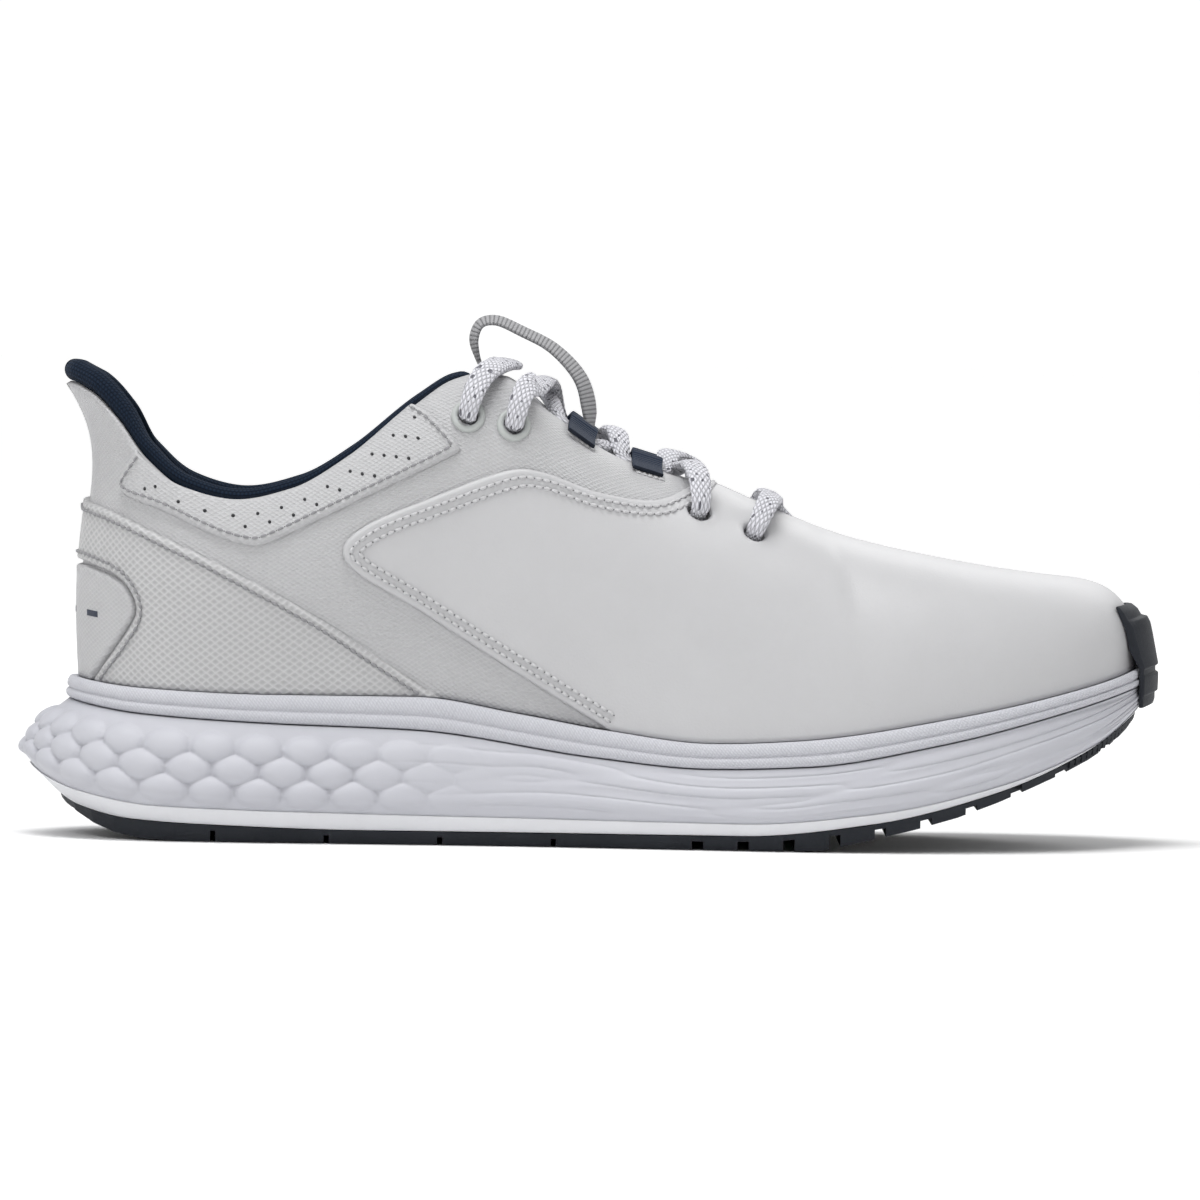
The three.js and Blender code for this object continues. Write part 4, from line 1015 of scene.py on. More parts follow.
def make_collar_panels():
    edge = side_outline(PANEL_EDGE)
    edge[0, 1] = edge[-1, 1] = 1.0
    edge = edge * [-1, 1]
    loop = np.vstack([edge, along_height(edge[-1, 0], edge[0, 0], 1)[1:-1]])
    loop_uv = to_uv(loop[:, 0], loop[:, 1])
    closed = np.vstack([loop_uv, loop_uv[:1]])
    holes = []
    first, last = sorted((-edge[0, 0], -edge[-1, 0]))
    for row in range(4):
        u_values = np.arange(LENGTH_AT[0] + 20, 160, 7.0) + (row % 2) * 3.5
        for u in u_values:
            s = np.interp(u, LENGTH_AT, TABLE_S)
            if not first < s < last:
                continue
            top = to_uv(np.array([-s]), np.array([1.0]))[0, 1]
            centre = np.array([-u, top - 4.6 - row * 3.1])
            if inside(centre[None], loop_uv)[0] and distance_to(centre[None], closed)[0] > 3.6:
                angle = np.linspace(0, 2 * np.pi, 10, endpoint=False)
                holes.append(centre + np.stack([np.cos(angle), np.sin(angle)], -1) * 0.5)
    panel(
        "collar_panel_skin", loop, [edge], RIPSTOP, grid=1.5, low=-OVERLAY - 0.1, mirror=True,
        replaces=("collar_panel_{}",), slot="synthetic_leather_smooth",
    )
    # Dark blocks on the panel where the perforations are, with no hole cut. This is painted shade of the
    # holes.
    for side in SIDES:
        verts, faces = [], []
        for hole in holes:
            sigma, h = from_uv(hole * [-side, 1])
            rings = [on_shoe(sigma, h, np.full(len(h), out)) for out in (0.06, -0.5)]
            add_block(verts, faces, np.vstack(rings), prism(len(hole)))
        make_object(f"collar_perforation_shade_{SIDE_NAME[side]}", verts, faces, HOLE_SHADE)
    row = row_within(to_uv(*edge.T), COLLAR_SEAM, loop_uv)
    paths = [seam_path(row, side) for side in SIDES]
    stitches("collar_panel_stitching", paths, DARK_THREAD, pitch=2.4, radius=0.34)


PRINT_NAVY = plain_fabric("print_navy", (0.006, 0.012, 0.03), (0.012, 0.022, 0.05), 1500)


# ---------------------------------------------------------------- sole

flare = through([[0, 13.8], [1, 12], [2, 9.5], [4, 7.5], [6, 6], [8, 5.5], [10, 4], [12, 2.4]])
undercut = through([[0, 7.5], [1, 6], [2, 3.5], [3, 2.2], [9, 2.2], [12, 1.2]])
waist = through([[0, 2.4], [2, 2.6], [12, 2.2]])
CARRIER_LIP = 1.4
FOXING_OUT = 3


def loop_places(count):
    """Places round the feather line at even distances, with the heel first and the outer side next."""
    place = np.linspace(0, 1, 2001)
    p = feather_loop(place[:-1])
    p = np.vstack([p, p[:1]])
    d = lengths_along(p)
    return np.interp(np.linspace(0, d[-1], count, endpoint=False), d, place), d[-1]


def ring_points(place, offset, height, relief=0.0):
    """Points round the shoe at an offset from the feather line, at heights that follow x."""
    station = 2 * STATIONS * np.minimum(place, 1 - place)
    side = np.where(place < 0.5, -1.0, 1.0)
    p = feather_point(station, side, offset(station) + relief)
    return np.concatenate([p, height(p[..., 0])[..., None]], -1)


def ring_piece(name, levels, count, material, caps=True, closed_section=False, relief=None, **kept):
    """A piece stacked from rings. levels are (offset of station, height of x) pairs, bottom first."""
    place, total = loop_places(count)
    rings = []
    along = np.linspace(0, total, count, endpoint=False)
    for k, (offset, height) in enumerate(levels):
        bump_out = relief(along, total, k / (len(levels) - 1)) if relief else 0.0
        rings.append(ring_points(place, offset, height, bump_out))
    verts = np.vstack(rings)
    faces = grid_faces(len(levels), count, close_rows=closed_section, close_columns=True)
    if caps and not closed_section:
        for start in (0, (len(levels) - 1) * count):
            for i in range(count // 2):
                a, b, c, d = start + i, start + i + 1, start + count - i - 1, start + (count - i) % count
                faces.append(tuple(dict.fromkeys((a, b, c, d))))
    faces = [f for f in faces if len(f) > 2]
    uv = np.array([(along[i], k) for k in range(len(levels)) for i in range(count)], float)
    heights = np.concatenate(
        [[0], np.cumsum([np.linalg.norm(rings[k + 1][0] - rings[k][0]) for k in range(len(rings) - 1)])]
    )
    uv[:, 1] = heights[uv[:, 1].astype(int)]
    consistent = bmesh.new()
    o = make_object(name, verts, faces, material, uv, **kept)
    consistent.from_mesh(o.data)
    bmesh.ops.recalc_face_normals(consistent, faces=consistent.faces)
    consistent.to_mesh(o.data)
    consistent.free()
    return o


def between(low, high, share):
    return lambda x: low(x) * (1 - share) + high(x) * share


def raised(curve, rise):
    return lambda x: curve(x) + rise


def fixed(value):
    return lambda station: np.full_like(np.asarray(station, float), value)


PEBBLE_PITCH = through([[0, 7.4], [20, 8.6], [45, 11.4], [90, 12.7], [130, 14], [400, 14]])
PEBBLE_ROWS = (0.2, 0.455, 0.71)
PEBBLE_HEIGHT = 2.1


def smoothstep(low, high, x):
    t = np.clip((x - low) / (high - low), 0, 1)
    return t * t * (3 - 2 * t)


def midsole_relief(along, total, level):
    """Rows of pebbles round the heel that fade into long flowing creases towards the toe."""
    from_heel = np.minimum(along, total - along)
    table = np.linspace(0, 400, 801)
    turns = np.concatenate([[0], np.cumsum(0.5 / PEBBLE_PITCH(table[:-1]))])
    phase = np.interp(from_heel, table, turns)
    nearest = np.full(len(along), 9.0)
    for row, row_level in enumerate(PEBBLE_ROWS):
        shift = 0.5 if row == 1 else 0.0
        dx = phase - (np.round(phase - shift) + shift)
        dy = (level - row_level) / 0.26
        nearest = np.minimum(nearest, (dx / 0.49) ** 2 + (dy / 0.66) ** 2)
    dome = np.clip(1 - nearest, 0, 1) ** 0.55 * PEBBLE_HEIGHT
    fade = 1 - smoothstep(82, 136, from_heel)
    wave_fade = smoothstep(85, 150, from_heel)
    x = from_heel
    crease = np.sin(level * 13 + 1.6 * np.sin(x / 31) + x / 55)
    crease += 0.7 * np.sin(level * 21 - x / 23 + 1.1 * np.sin(x / 17 + 2))
    crease += 0.45 * np.sin(level * 9 + x / 9.5 + 2.2 * np.sin(x / 41 + level * 3))
    window = smoothstep(0, 0.16, level) * (1 - smoothstep(0.86, 1, level))
    sharp = 1 - np.abs(np.clip(crease / 1.6, -1, 1))
    return dome * fade * window**0.3 - wave_fade * window * (0.42 * sharp**4 + 0.12 * crease)


def make_midsole():
    share_of_flare = through([[0, 1], [0.16, 1], [0.45, 0.82], [0.78, 0.42], [1, 0]])
    levels = []
    count = 72
    for k in range(count + 1):
        t = k / count
        lip = CARRIER_LIP * (1 - smoothstep(0, 0.14, t))
        share = float(share_of_flare(t))
        offset = lambda s, share=share, lip=lip: flare(s) * share + waist(s) * (1 - share) - lip
        levels.append((offset, raised(between(rim_top_z, groove_z, t), 0.02 - 0.32 * t)))
    ring_piece(
        "midsole_body", levels, 1100, FOAM, relief=midsole_relief, replaces=("midsole",), slot="foam",
    )


def make_foxing():
    inner = LINING_IN - 0.6
    outline = [
        (inner, 0, 0.05), (FOXING_OUT - 1.6, 0, 0.05), (FOXING_OUT - 0.9, 0.01, 0),
        (FOXING_OUT - 0.35, 0.05, 0), (FOXING_OUT + 0.02, 0.11, 0), (FOXING_OUT + 0.2, 0.19, 0),
        (FOXING_OUT + 0.2, 0.27, 0), (FOXING_OUT, 0.35, 0), (FOXING_OUT - 0.4, 0.41, 0),
        (FOXING_OUT - 0.65, 0.44, 0), (FOXING_OUT - 0.6, 0.47, 0), (FOXING_OUT - 0.3, 0.5, 0),
        (FOXING_OUT - 0.15, 0.56, 0), (FOXING_OUT - 0.15, 0.66, 0), (FOXING_OUT - 0.35, 0.78, 0),
        (FOXING_OUT - 0.75, 0.9, 0),
        (FOXING_OUT - 1.3, 0.97, 0), (FOXING_OUT - 2.0, 1, -0.15), (0.1, 1, -0.3), (inner, 1, -0.3),
    ]
    levels = [(fixed(out), raised(between(groove_z, feather_z, t), rise)) for out, t, rise in outline]
    ring_piece(
        "foxing_band", levels, 900, FOXING, caps=False, closed_section=True, replaces=("foxing",),
        slot="foxing",
    )


def make_carrier():
    levels = []
    profile = [
        (1.0, 0.0), (0.8, 0.1), (0.6, 0.25), (0.42, 0.42), (0.26, 0.6), (0.12, 0.78), (0.03, 0.9),
        (0.0, 0.96), (0.06, 0.995), (0.3, 1.0),
    ]
    for under, t in profile:
        offset = lambda s, under=under: flare(s) - CARRIER_LIP + 0.35 - undercut(s) * under
        levels.append((offset, between(rim_bottom_z, rim_top_z, t)))
    ring_piece(
        "outsole_rim", levels, 900, RIM_WHITE, replaces=("outsole_carrier",), slot="carrier",
    )


def copied(node, name, width, segments, material, body="shoe"):
    """A carried-over solid with its sharp edges rounded."""
    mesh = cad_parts[node].data.copy()
    mesh.materials.clear()
    mesh.materials.append(material)
    o = bpy.data.objects.new(name, mesh)
    add_to_scene(o)
    work = bmesh.new()
    work.from_mesh(mesh)
    bmesh.ops.remove_doubles(work, verts=work.verts, dist=0.02 * MM)
    bmesh.ops.dissolve_limit(work, angle_limit=math.radians(3), verts=work.verts, edges=work.edges)
    sharp = [e for e in work.edges if len(e.link_faces) == 2 and e.calc_face_angle(0) > math.radians(25)]
    bmesh.ops.bevel(
        work, geom=sharp, offset=width * MM, segments=segments, profile=0.6, affect="EDGES",
        clamp_overlap=True,
    )
    work.to_mesh(mesh)
    work.free()
    mesh.polygons.foreach_set("use_smooth", [False] * len(mesh.polygons))
    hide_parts(node)
    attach(o, body)
    return o


def bumper_outline(station, side):
    share = 1 - 0.7 * (STATIONS - station) ** 2
    edge_x = feather_point(station, side)[0]
    edge = float(feather_z(edge_x))

    def beside(out, z):
        p = feather_point(station, side, out)
        return np.array([p[0], p[1], edge + z])

    def on(height, out):
        return on_shoe(np.float64(station) * side if station else 0.0, np.float64(height), np.float64(out))

    base = FOXING_OUT + 1.3
    return [
        beside(base - 1, -9.5), beside(base + 0.5 * share, -9.5), beside(base + 0.9 * share, -8.2),
        beside(base + 0.9 * share, -6.4), beside(base + 1.7 * share, -6), beside(base + 1.8 * share, -3.4),
        beside(base + 1.8 * share, -1.2), beside(base + 1.0 * share, -0.8), beside(base + 1.0 * share, 0.6),
        beside(base + 1.8 * share, 1.0), on(0.15, 1.8 + 3.1 * share), on(0.2, 1.8 + 3.0 * share),
        on(0.24, 1.4 + 3 * share),
        on(0.26, 1.4 + 1.6 * share), on(0.31, 1.4 + 1.3 * share), on(0.36, 1.3 + 0.6 * share),
        on(0.38, 1.2), on(0.38, 0.5),
        on(0.2, 0.4), on(0.08, 0.6), beside(base - 1, 1),
    ]


def make_bumper():
    half = np.linspace(11, STATIONS, 22)
    sections = [bumper_outline(s, LATERAL) for s in half] + [bumper_outline(s, MEDIAL) for s in half[-2::-1]]
    n = len(sections[0])
    verts = np.vstack([np.array(section) for section in sections])
    faces = grid_faces(len(sections), n, close_columns=True)
    faces += [tuple(range(n)), tuple(len(verts) - 1 - k for k in range(n))]
    o = make_object(
        "toe_bumper_rubber", verts, turned_out(verts, faces), RUBBER, replaces=("toe_bumper",),
        slot="rubber_black",
    )
    o.data.set_sharp_from_angle(angle=math.radians(32))
    rounding = o.modifiers.new("rounded_edges", "BEVEL")
    rounding.width = 0.45 * MM
    rounding.segments = 3
    rounding.limit_method = "ANGLE"
    rounding.angle_limit = math.radians(28)
    return o


WEDGE = [(0, 2, 3, 1), (2, 4, 5, 3), (4, 6, 7, 5), (6, 0, 1, 7), (0, 6, 4, 2), (1, 3, 5, 7)]


def make_nubs():
    """Small wedges of rubber along the edge of the tread, in front of the ball."""
    verts, faces = [], []
    tread_z = through([
        [-145, 14], [-140, 8.5], [-130, 2.9], [-122, 0.7], [-113, 0], [58, 0], [71, 2.6], [97, 9.4],
        [113, 15.6], [134, 25.3], [150, 37.5],
    ])
    for q in loop_places(300)[0]:
        station = 2 * STATIONS * min(q, 1 - q)
        if station < 9.6:
            continue
        side = LATERAL if q < 0.5 else MEDIAL
        edge = float(flare(station)) - CARRIER_LIP - float(undercut(station)) - 0.3
        a, b = feather_point(station, side, edge - 2.2), feather_point(station, side, edge + 0.5)
        out = (b - a) / np.linalg.norm(b - a)
        along = np.array([-out[1], out[0]])
        low = float(tread_z(b[0])) - 0.1
        top = float(rim_bottom_z(b[0])) - 0.25
        corners = []
        for xy, z, half in ((a, top, 0.95), (b, top, 0.95), (b - out * 0.5, low + 0.4, 0.55), (a, low, 0.55)):
            corners += [[*(xy + along * half * sign), z] for sign in (-1, 1)]
        add_block(verts, faces, corners, WEDGE)
    make_object("tread_nubs", verts, faces, RUBBER, smooth=False, slot="rubber_black")


# ---------------------------------------------------------------- collar, linings and tongue

ROLL_STATIONS_END = 4.95


def make_collar_roll():
    """The padded roll: a knitted tube whose radius waves slightly along its length, most at its top and foot.
    """
    stations = np.concatenate(
        [np.linspace(ROLL_STATIONS_END, 0, 150), np.linspace(0, ROLL_STATIONS_END, 150)[1:]],
    )
    sides = np.concatenate([np.full(150, -1.0), np.full(149, 1.0)])
    centre = off_surface(stations, np.ones_like(stations), sides, QUARTER_IN - 2.6)
    skin = off_surface(stations, np.ones_like(stations), sides, np.zeros_like(stations))
    out = skin - centre
    out = unit_rows(out)
    up = upper_point(stations, 1.0, sides) - upper_point(stations, 0.96, sides)
    up = unit_rows(up)
    centre = centre + up * 1.9
    end = np.clip((ROLL_STATIONS_END - stations) / 0.12, 0, 1)
    taper = np.sqrt(np.clip(1 - (1 - end) ** 2, 0.02, 1))
    count = 26
    d = lengths_along(centre)
    verts, uv = [], []
    for k in range(count):
        angle = 2 * math.pi * k / count
        radius = 3.05 * taper * (1 + 0.02 * np.sin(d / 7.5) * math.sin(angle) ** 2)
        p = centre + out * (radius * math.cos(angle) * 0.98)[:, None]
        p = p + up * (radius * math.sin(angle) * 1.02)[:, None]
        verts.append(p)
        uv.append(np.stack([d, np.full(len(d), angle * 3.05)], -1))
    verts, uv = np.vstack(verts), np.vstack(uv)
    n = len(stations)
    faces = grid_faces(count, n, close_rows=True)
    faces += [tuple(k * n for k in range(count)), tuple(k * n + n - 1 for k in range(count - 1, -1, -1))]
    o = make_object(
        "collar_roll_knit", verts, turned_out(verts, faces), KNIT, uv, replaces=("collar_roll",),
        slot="collar_knit",
    )
    return o


def lining_sheet(name, s_from, s_to, node, h_top, material, slot, puff):
    """A soft lining with a face on each side and foam between, which fills out towards its top."""
    stations = np.concatenate([np.linspace(s_to, s_from, 90), np.linspace(s_from, s_to, 90)[1:]])
    sides = np.concatenate([np.full(90, -1.0), np.full(89, 1.0)])
    heights = np.linspace(0, h_top, 40)
    s, h = np.meshgrid(stations, heights, indexing="ij")
    side = np.repeat(sides[:, None], len(heights), axis=1)
    rise = np.sin(np.pi * np.clip((h - 0.35) / (h_top - 0.35), 0, 1)) ** 0.8
    swell = puff * rise * (1 - smoothstep(2.6, 4.2, s) * 0.6)
    outer = off_surface(s, h, side, np.full_like(s, LINING_OUT + 0.05))
    inner = off_surface(s, h, side, LINING_IN + 0.3 - swell)
    verts, faces = closed_sheet(outer, inner)
    uv = surface_uv(s, h).reshape(-1, 2)
    o = make_object(name, verts, faces, material, np.vstack([uv, uv]), replaces=(node,), slot=slot)
    return o


def make_sockliner():
    """The removable sockliner, cupped at the heel, with a rounded rim."""
    edge = LINING_IN - 1.2
    inner_rows = [
        (edge - 0.4, 2.35), (edge, 3.0), (edge, 6.9), (edge - 0.5, 7.6), (edge - 1.4, 7.7),
        (edge - 3.5, 6.9), (edge - 8, 6.3), (edge - 16, 6.2),
    ]
    levels = [(fixed(out), raised(groove_z, rise)) for out, rise in inner_rows]
    o = ring_piece("sockliner_pad", levels, 420, LINING, replaces=("sockliner",), slot="sockliner")


TONGUE_TOE, TONGUE_TIP = 66, -33
tongue_depth = through([[-40, 1.5], [-10, 1.5], [10, 3], [30, 4.5], [45, 5.8], [58, 7.5], [70, 7.5]])
tongue_half = through([[-34, 13], [-27, 18.5], [-18, 20], [8, 18], [30, 16.5], [45, 14.5], [66, 10]])
tongue_drop = through([[-34, 7], [-24, 13.5], [8, 13.5], [30, 10.5], [45, 8], [66, 4]])
top_z_at_x = through([[row[1], row[3]] for row in TOP_LINE if row[0] >= 5])


def tongue_top(x, across):
    share = across / tongue_half(x)
    return top_z_at_x(x) - tongue_depth(x) - tongue_drop(x) * share * share


def make_tongue():
    xs = np.linspace(TONGUE_TOE, TONGUE_TIP, 130)
    shares = np.linspace(-1, 1, 61)
    x, share = np.meshgrid(xs, shares, indexing="ij")
    half = tongue_half(x)
    across = share * half
    z = tongue_top(x, across)
    rim = np.clip(
        np.minimum((1 - np.abs(share)) * half, np.minimum(x - TONGUE_TIP, TONGUE_TOE - x)) / 3.2, 0, 1,
    )
    round_rim = np.sqrt(np.clip(1 - (1 - rim) ** 2, 0, 1))
    seam = 0.5 * np.exp(-(((np.abs(share) * half - half + 4.2) / 0.7) ** 2)) * (rim > 0.3)
    top = np.stack([x, spine_y(x) + across, z - 2.0 + 2.0 * round_rim - seam], -1)
    under = np.stack([x, spine_y(x) + across, z - 2.0 - 2.0 * round_rim], -1)
    verts, faces = closed_sheet(top, under)
    uv = np.stack([x, across], -1).reshape(-1, 2)
    o = make_object(
        "tongue_pad", verts, faces, TONGUE_SKIN, np.vstack([uv, uv]), body="tongue",
        replaces=("tongue",), slot="tongue_leather",
    )
    o.data.materials.append(LINING)
    skin = (x.shape[0] - 1) * (x.shape[1] - 1)
    o.data.polygons.foreach_set("material_index", [int(k >= skin) for k in range(len(o.data.polygons))])
    merge = bmesh.new()
    merge.from_mesh(o.data)
    bmesh.ops.remove_doubles(merge, verts=merge.verts, dist=0.002 * MM)
    merge.to_mesh(o.data)
    merge.free()


def catmull(points, per=24, extra=None):
    """Centripetal curve through points, sampled densely; extra columns are carried along evenly."""
    p = np.array(points, float)
    full = np.vstack([2 * p[0] - p[1], p, 2 * p[-1] - p[-2]])
    t = (np.arange(per) / per)[:, None]
    out, carried = [], []
    for i in range(len(p) - 1):
        c0, c1, c2, c3 = centripetal(*full[i : i + 4])
        out.append(c0 + c1 * t + c2 * t**2 + c3 * t**3)
        if extra is not None:
            smooth = t * t * (3 - 2 * t)
            carried.append(extra[i] * (1 - smooth) + extra[i + 1] * smooth)
    out.append(p[-1][None])
    if extra is None:
        return np.vstack(out)
    carried.append(extra[-1][None])
    return np.vstack(out), np.vstack(carried)


def ribbon(
    name, points, ups, half, thick, material, body="shoe", round_power=3.0, sides=20, waviness=0.0, **kept
):
    """A flat band along a route: half widths and half thicknesses vary along it."""
    along, up, across = tube_frames(points, ups)
    d = lengths_along(points)
    angle = 2 * np.pi * np.arange(sides) / sides
    c, s = np.cos(angle), np.sin(angle)
    wide = np.sign(c) * np.abs(c) ** (2 / round_power)
    tall = np.sign(s) * np.abs(s) ** (2 / round_power)
    half, thick = np.broadcast_to(half, len(points)), np.broadcast_to(thick, len(points))
    ripple = 1 + waviness * np.sin(d / 1.45 * np.pi)[:, None] * np.abs(c)[None, :]
    verts = (
        points[:, None, :]
        + across[:, None, :] * (half[:, None] * wide[None, :] * ripple)[..., None]
        + up[:, None, :] * (thick[:, None] * tall[None, :])[..., None]
    ).reshape(-1, 3)
    n = len(points)
    faces = grid_faces(n, sides, close_columns=True)
    faces += [tuple(range(sides)), tuple((n - 1) * sides + k for k in range(sides - 1, -1, -1))]
    ring = np.stack([wide, tall * 0.35], -1) * float(np.max(half))
    round_length = lengths_along(ring)
    uv = np.stack(np.meshgrid(d, round_length, indexing="ij"), -1).reshape(-1, 2)
    return make_object(name, verts, turned_out(verts, faces), material, uv, body=body, **kept)


PULL_WIDTH = 8


def make_pull_ribbon():
    feet = (-30.5, -1.8)
    y = float(spine_y(feet[0]))
    foot_z = [float(tongue_top(x, 0.0)) + 0.7 for x in feet]
    rise = [
        [0, 0], [-1.8, 4.5], [-2.6, 9], [-0.9, 12.9], [3, 13.8], [10.5, 10.8], [18.9, 6.3], [26.1, -1.6],
        [28.4, -9.5],
    ]
    route = [[feet[0] + dx, y, foot_z[0] + dz] for dx, dz in rise] + [[feet[1], y, foot_z[1]]]
    line = resampled(catmull(route), 0.7)
    along = np.gradient(line, axis=0)
    ups = np.stack([-along[:, 2], np.zeros(len(line)), along[:, 0]], -1)
    t = np.linspace(0, 1, len(line))
    ups[:, 1] = -np.linalg.norm(along, axis=1) * np.interp(
        t, [0, 0.15, 0.5, 0.85, 1], [0, 0.25, 0.3, 0.5, 0.3],
    )
    half = np.minimum(PULL_WIDTH / 2, 1.7 + np.minimum(t, 1 - t) * 22)
    ribbon(
        "pull_loop", line, ups, half, 0.55, GREY_WEB, body="pull_ribbon", round_power=6, sides=24,
        replaces=("pull_ribbon",), slot="webbing_grey",
    )


# ---------------------------------------------------------------- lacing

LACE_R = 1.9
GAP = 0.3
LACE_UNDER = QUARTER_IN - GAP - LACE_R
LOOP_WIDTH = 7.6
LOOP_WALL = 1.0
LOOP_EYE_R = LACE_R + GAP + 0.2
LOOP_OUT = LOOP_EYE_R + LOOP_WALL
LOOP_STATIONS = [
    float(np.interp(x, top_x(np.linspace(5, 7, 400)), np.linspace(5, 7, 400))) for x in (-3.7, 13.5)
]
EDGE_STATIONS = [5.1, 5.36, 6.4, 7.05]


def at_upper(station, height, side, out):
    return off_surface(np.float64(station), np.float64(height), np.float64(side), np.float64(out))


def unit(v):
    return v / np.linalg.norm(v)


def edge_frame(station, side):
    edge = at_upper(station, 1, side, (QUARTER_OUT + QUARTER_IN) / 2)
    outer = unit(at_upper(station, 1, side, 0) - edge)
    ahead = unit(at_upper(station + 0.05, 1, side, 0) - at_upper(station - 0.05, 1, side, 0))
    past = unit(np.cross(ahead, outer) * side)
    return edge, ahead, past, outer


def through_eyelet(i, side, towards):
    """Points, flat directions and half widths of the lace from the eyestay's edge down through an eyelet."""
    s, h = EYELETS[i]
    surface = QUARTER_OUT if i < 2 else 0
    edge = EDGE_STATIONS[i]
    normal = unit(at_upper(s, h, side, 1) - at_upper(s, h, side, 0))
    inward = unit(at_upper(s, h, side, 0) - at_upper(s + (edge - s) * 0.5, h + (1 - h) * 0.5, side, 0))

    def over(t, lift, width):
        p = at_upper(s + (edge - s) * t, h + (1 - h) * t, side, surface + LACE_R + lift)
        return p, unit(normal + inward * (1 - t) * 0.6), width

    return [
        over(1, 0.6, 3.1), over(0.6, 1.9, 3.1), over(0.28, 2.6, 2.9),
        (at_upper(s, h, side, surface + 2.2), unit(inward + normal * 0.8), 2.5),
        (at_upper(s, h, side, surface - 0.6), inward, 2.2),
        (at_upper(s, h, side, QUARTER_IN - 0.4), inward, 2.2),
        (at_upper(s + towards[0] * 0.3, h + towards[1] * 0.3, side, LACE_UNDER - 0.2), -normal, 2.4),
        (at_upper(s + towards[0], h + towards[1], side, LACE_UNDER - 0.3), -normal, 2.6),
    ]


def through_loop(i, side):
    edge, ahead, past, outer = edge_frame(LOOP_STATIONS[i], side)
    return [(edge + ahead * k * (LOOP_WIDTH / 2 + 1) + past * LOOP_OUT, outer, 2.2) for k in (-1, 0, 1)]


def over_tongue(x, level, width=3.1):
    z = float(tongue_top(x, 0.0)) + LACE_R + 3 * GAP + level * (2 * LACE_R + 2 * GAP)
    return np.array([x, float(spine_y(x)), z]), np.array([0.25, 0, 1.0]), width


def make_lace():
    def to_eyelet(i, j):
        return (EYELETS[j] - EYELETS[i]) * 0.4

    def tucked_end(i):
        s, h = EYELETS[i]
        normal = unit(at_upper(s, h, MEDIAL, 1) - at_upper(s, h, MEDIAL, 0))
        return [(at_upper(s + 0.12, h + dh, MEDIAL, LACE_UNDER - 0.4), -normal, 2.6) for dh in (-0.22, -0.3)]

    tucked = (0.02, -0.12)
    crossings = (-12.4, 5, 19.6)
    route = tucked_end(0)[::-1] + through_eyelet(0, MEDIAL, tucked)[::-1] + [over_tongue(-23, 0.25)]
    route += through_eyelet(0, LATERAL, to_eyelet(0, 1)) + through_eyelet(1, LATERAL, to_eyelet(1, 0))[::-1]
    route += [over_tongue(crossings[0], 1, 2.4)] + through_loop(0, MEDIAL) + [over_tongue(crossings[1], 1)]
    route += through_loop(1, LATERAL) + [over_tongue(crossings[2], 1)]
    route += through_eyelet(2, MEDIAL, to_eyelet(2, 3)) + through_eyelet(3, MEDIAL, to_eyelet(3, 2))[::-1]
    route += [over_tongue(50, 0.6)]
    route += through_eyelet(3, LATERAL, to_eyelet(3, 2)) + through_eyelet(2, LATERAL, to_eyelet(2, 3))[::-1]
    route += [over_tongue(crossings[2], 0)] + through_loop(1, MEDIAL)[::-1] + [over_tongue(crossings[1], 0)]
    route += through_loop(0, LATERAL)[::-1] + [over_tongue(crossings[0], 0, 2.4)]
    route += through_eyelet(1, MEDIAL, tucked) + tucked_end(1)
    points = np.array([p for p, _, _ in route])
    carried = np.array([[*up, width] for _, up, width in route])
    line, extra = catmull(points, extra=carried)
    both = resampled(np.hstack([line, extra]), 0.6)
    d = lengths_along(both[:, :3])
    print("lace length mm", round(d[-1], 1))
    kernel = np.ones(7) / 7
    ups = np.stack(
        [np.convolve(np.pad(both[:, 3 + k], 3, mode="edge"), kernel, "valid") for k in range(3)], -1
    )
    half = both[:, 6]
    thick = 1.45 - 0.1 * (half - 2.2)
    ribbon(
        "lace_flat_braid", both[:, :3], ups, half, thick, LACE, round_power=2.5, sides=28, waviness=0.03,
        replaces=("lace",), slot="lace",
    )


def make_lace_loops():
    """Webbing folded round the lace, its two ends sewn above and below the eyestay."""
    for i, station in enumerate(LOOP_STATIONS):
        for side in SIDES:
            edge, ahead, past, outer = edge_frame(station, side)
            reach = 0.75 + GAP + LOOP_WALL / 2
            mid_r = LOOP_EYE_R + LOOP_WALL / 2 + 0.55
            path = [(-2.6, -reach - 0.5)]
            for degrees in np.linspace(-125, 125, 40):
                a = math.radians(degrees)
                path.append((LOOP_OUT + mid_r * math.cos(a), mid_r * math.sin(a)))
            path += [(-1.5, reach + 0.35), (-4.5, reach + 0.1), (-8.3, reach - 0.1)]
            points = np.array([edge + past * out + outer * rise for out, rise in path])
            line = resampled(catmull(points, per=6), 0.5)
            along = np.gradient(line, axis=0)
            ups = np.cross(along, ahead)
            ribbon(
                f"webbing_loop_{SIDE_NAME[side]}_{i + 1}", line, ups, LOOP_WIDTH / 2 + 0.45, LOOP_WALL / 2,
                NAVY_WEB, round_power=8, sides=28, slot="webbing_navy",
                replaces=(f"lace_loop_{SIDE_NAME[side]}_{i + 1}",),
            )


BARTACK_DEPTH = 9.3
BARTACK_PITCH = 0.62


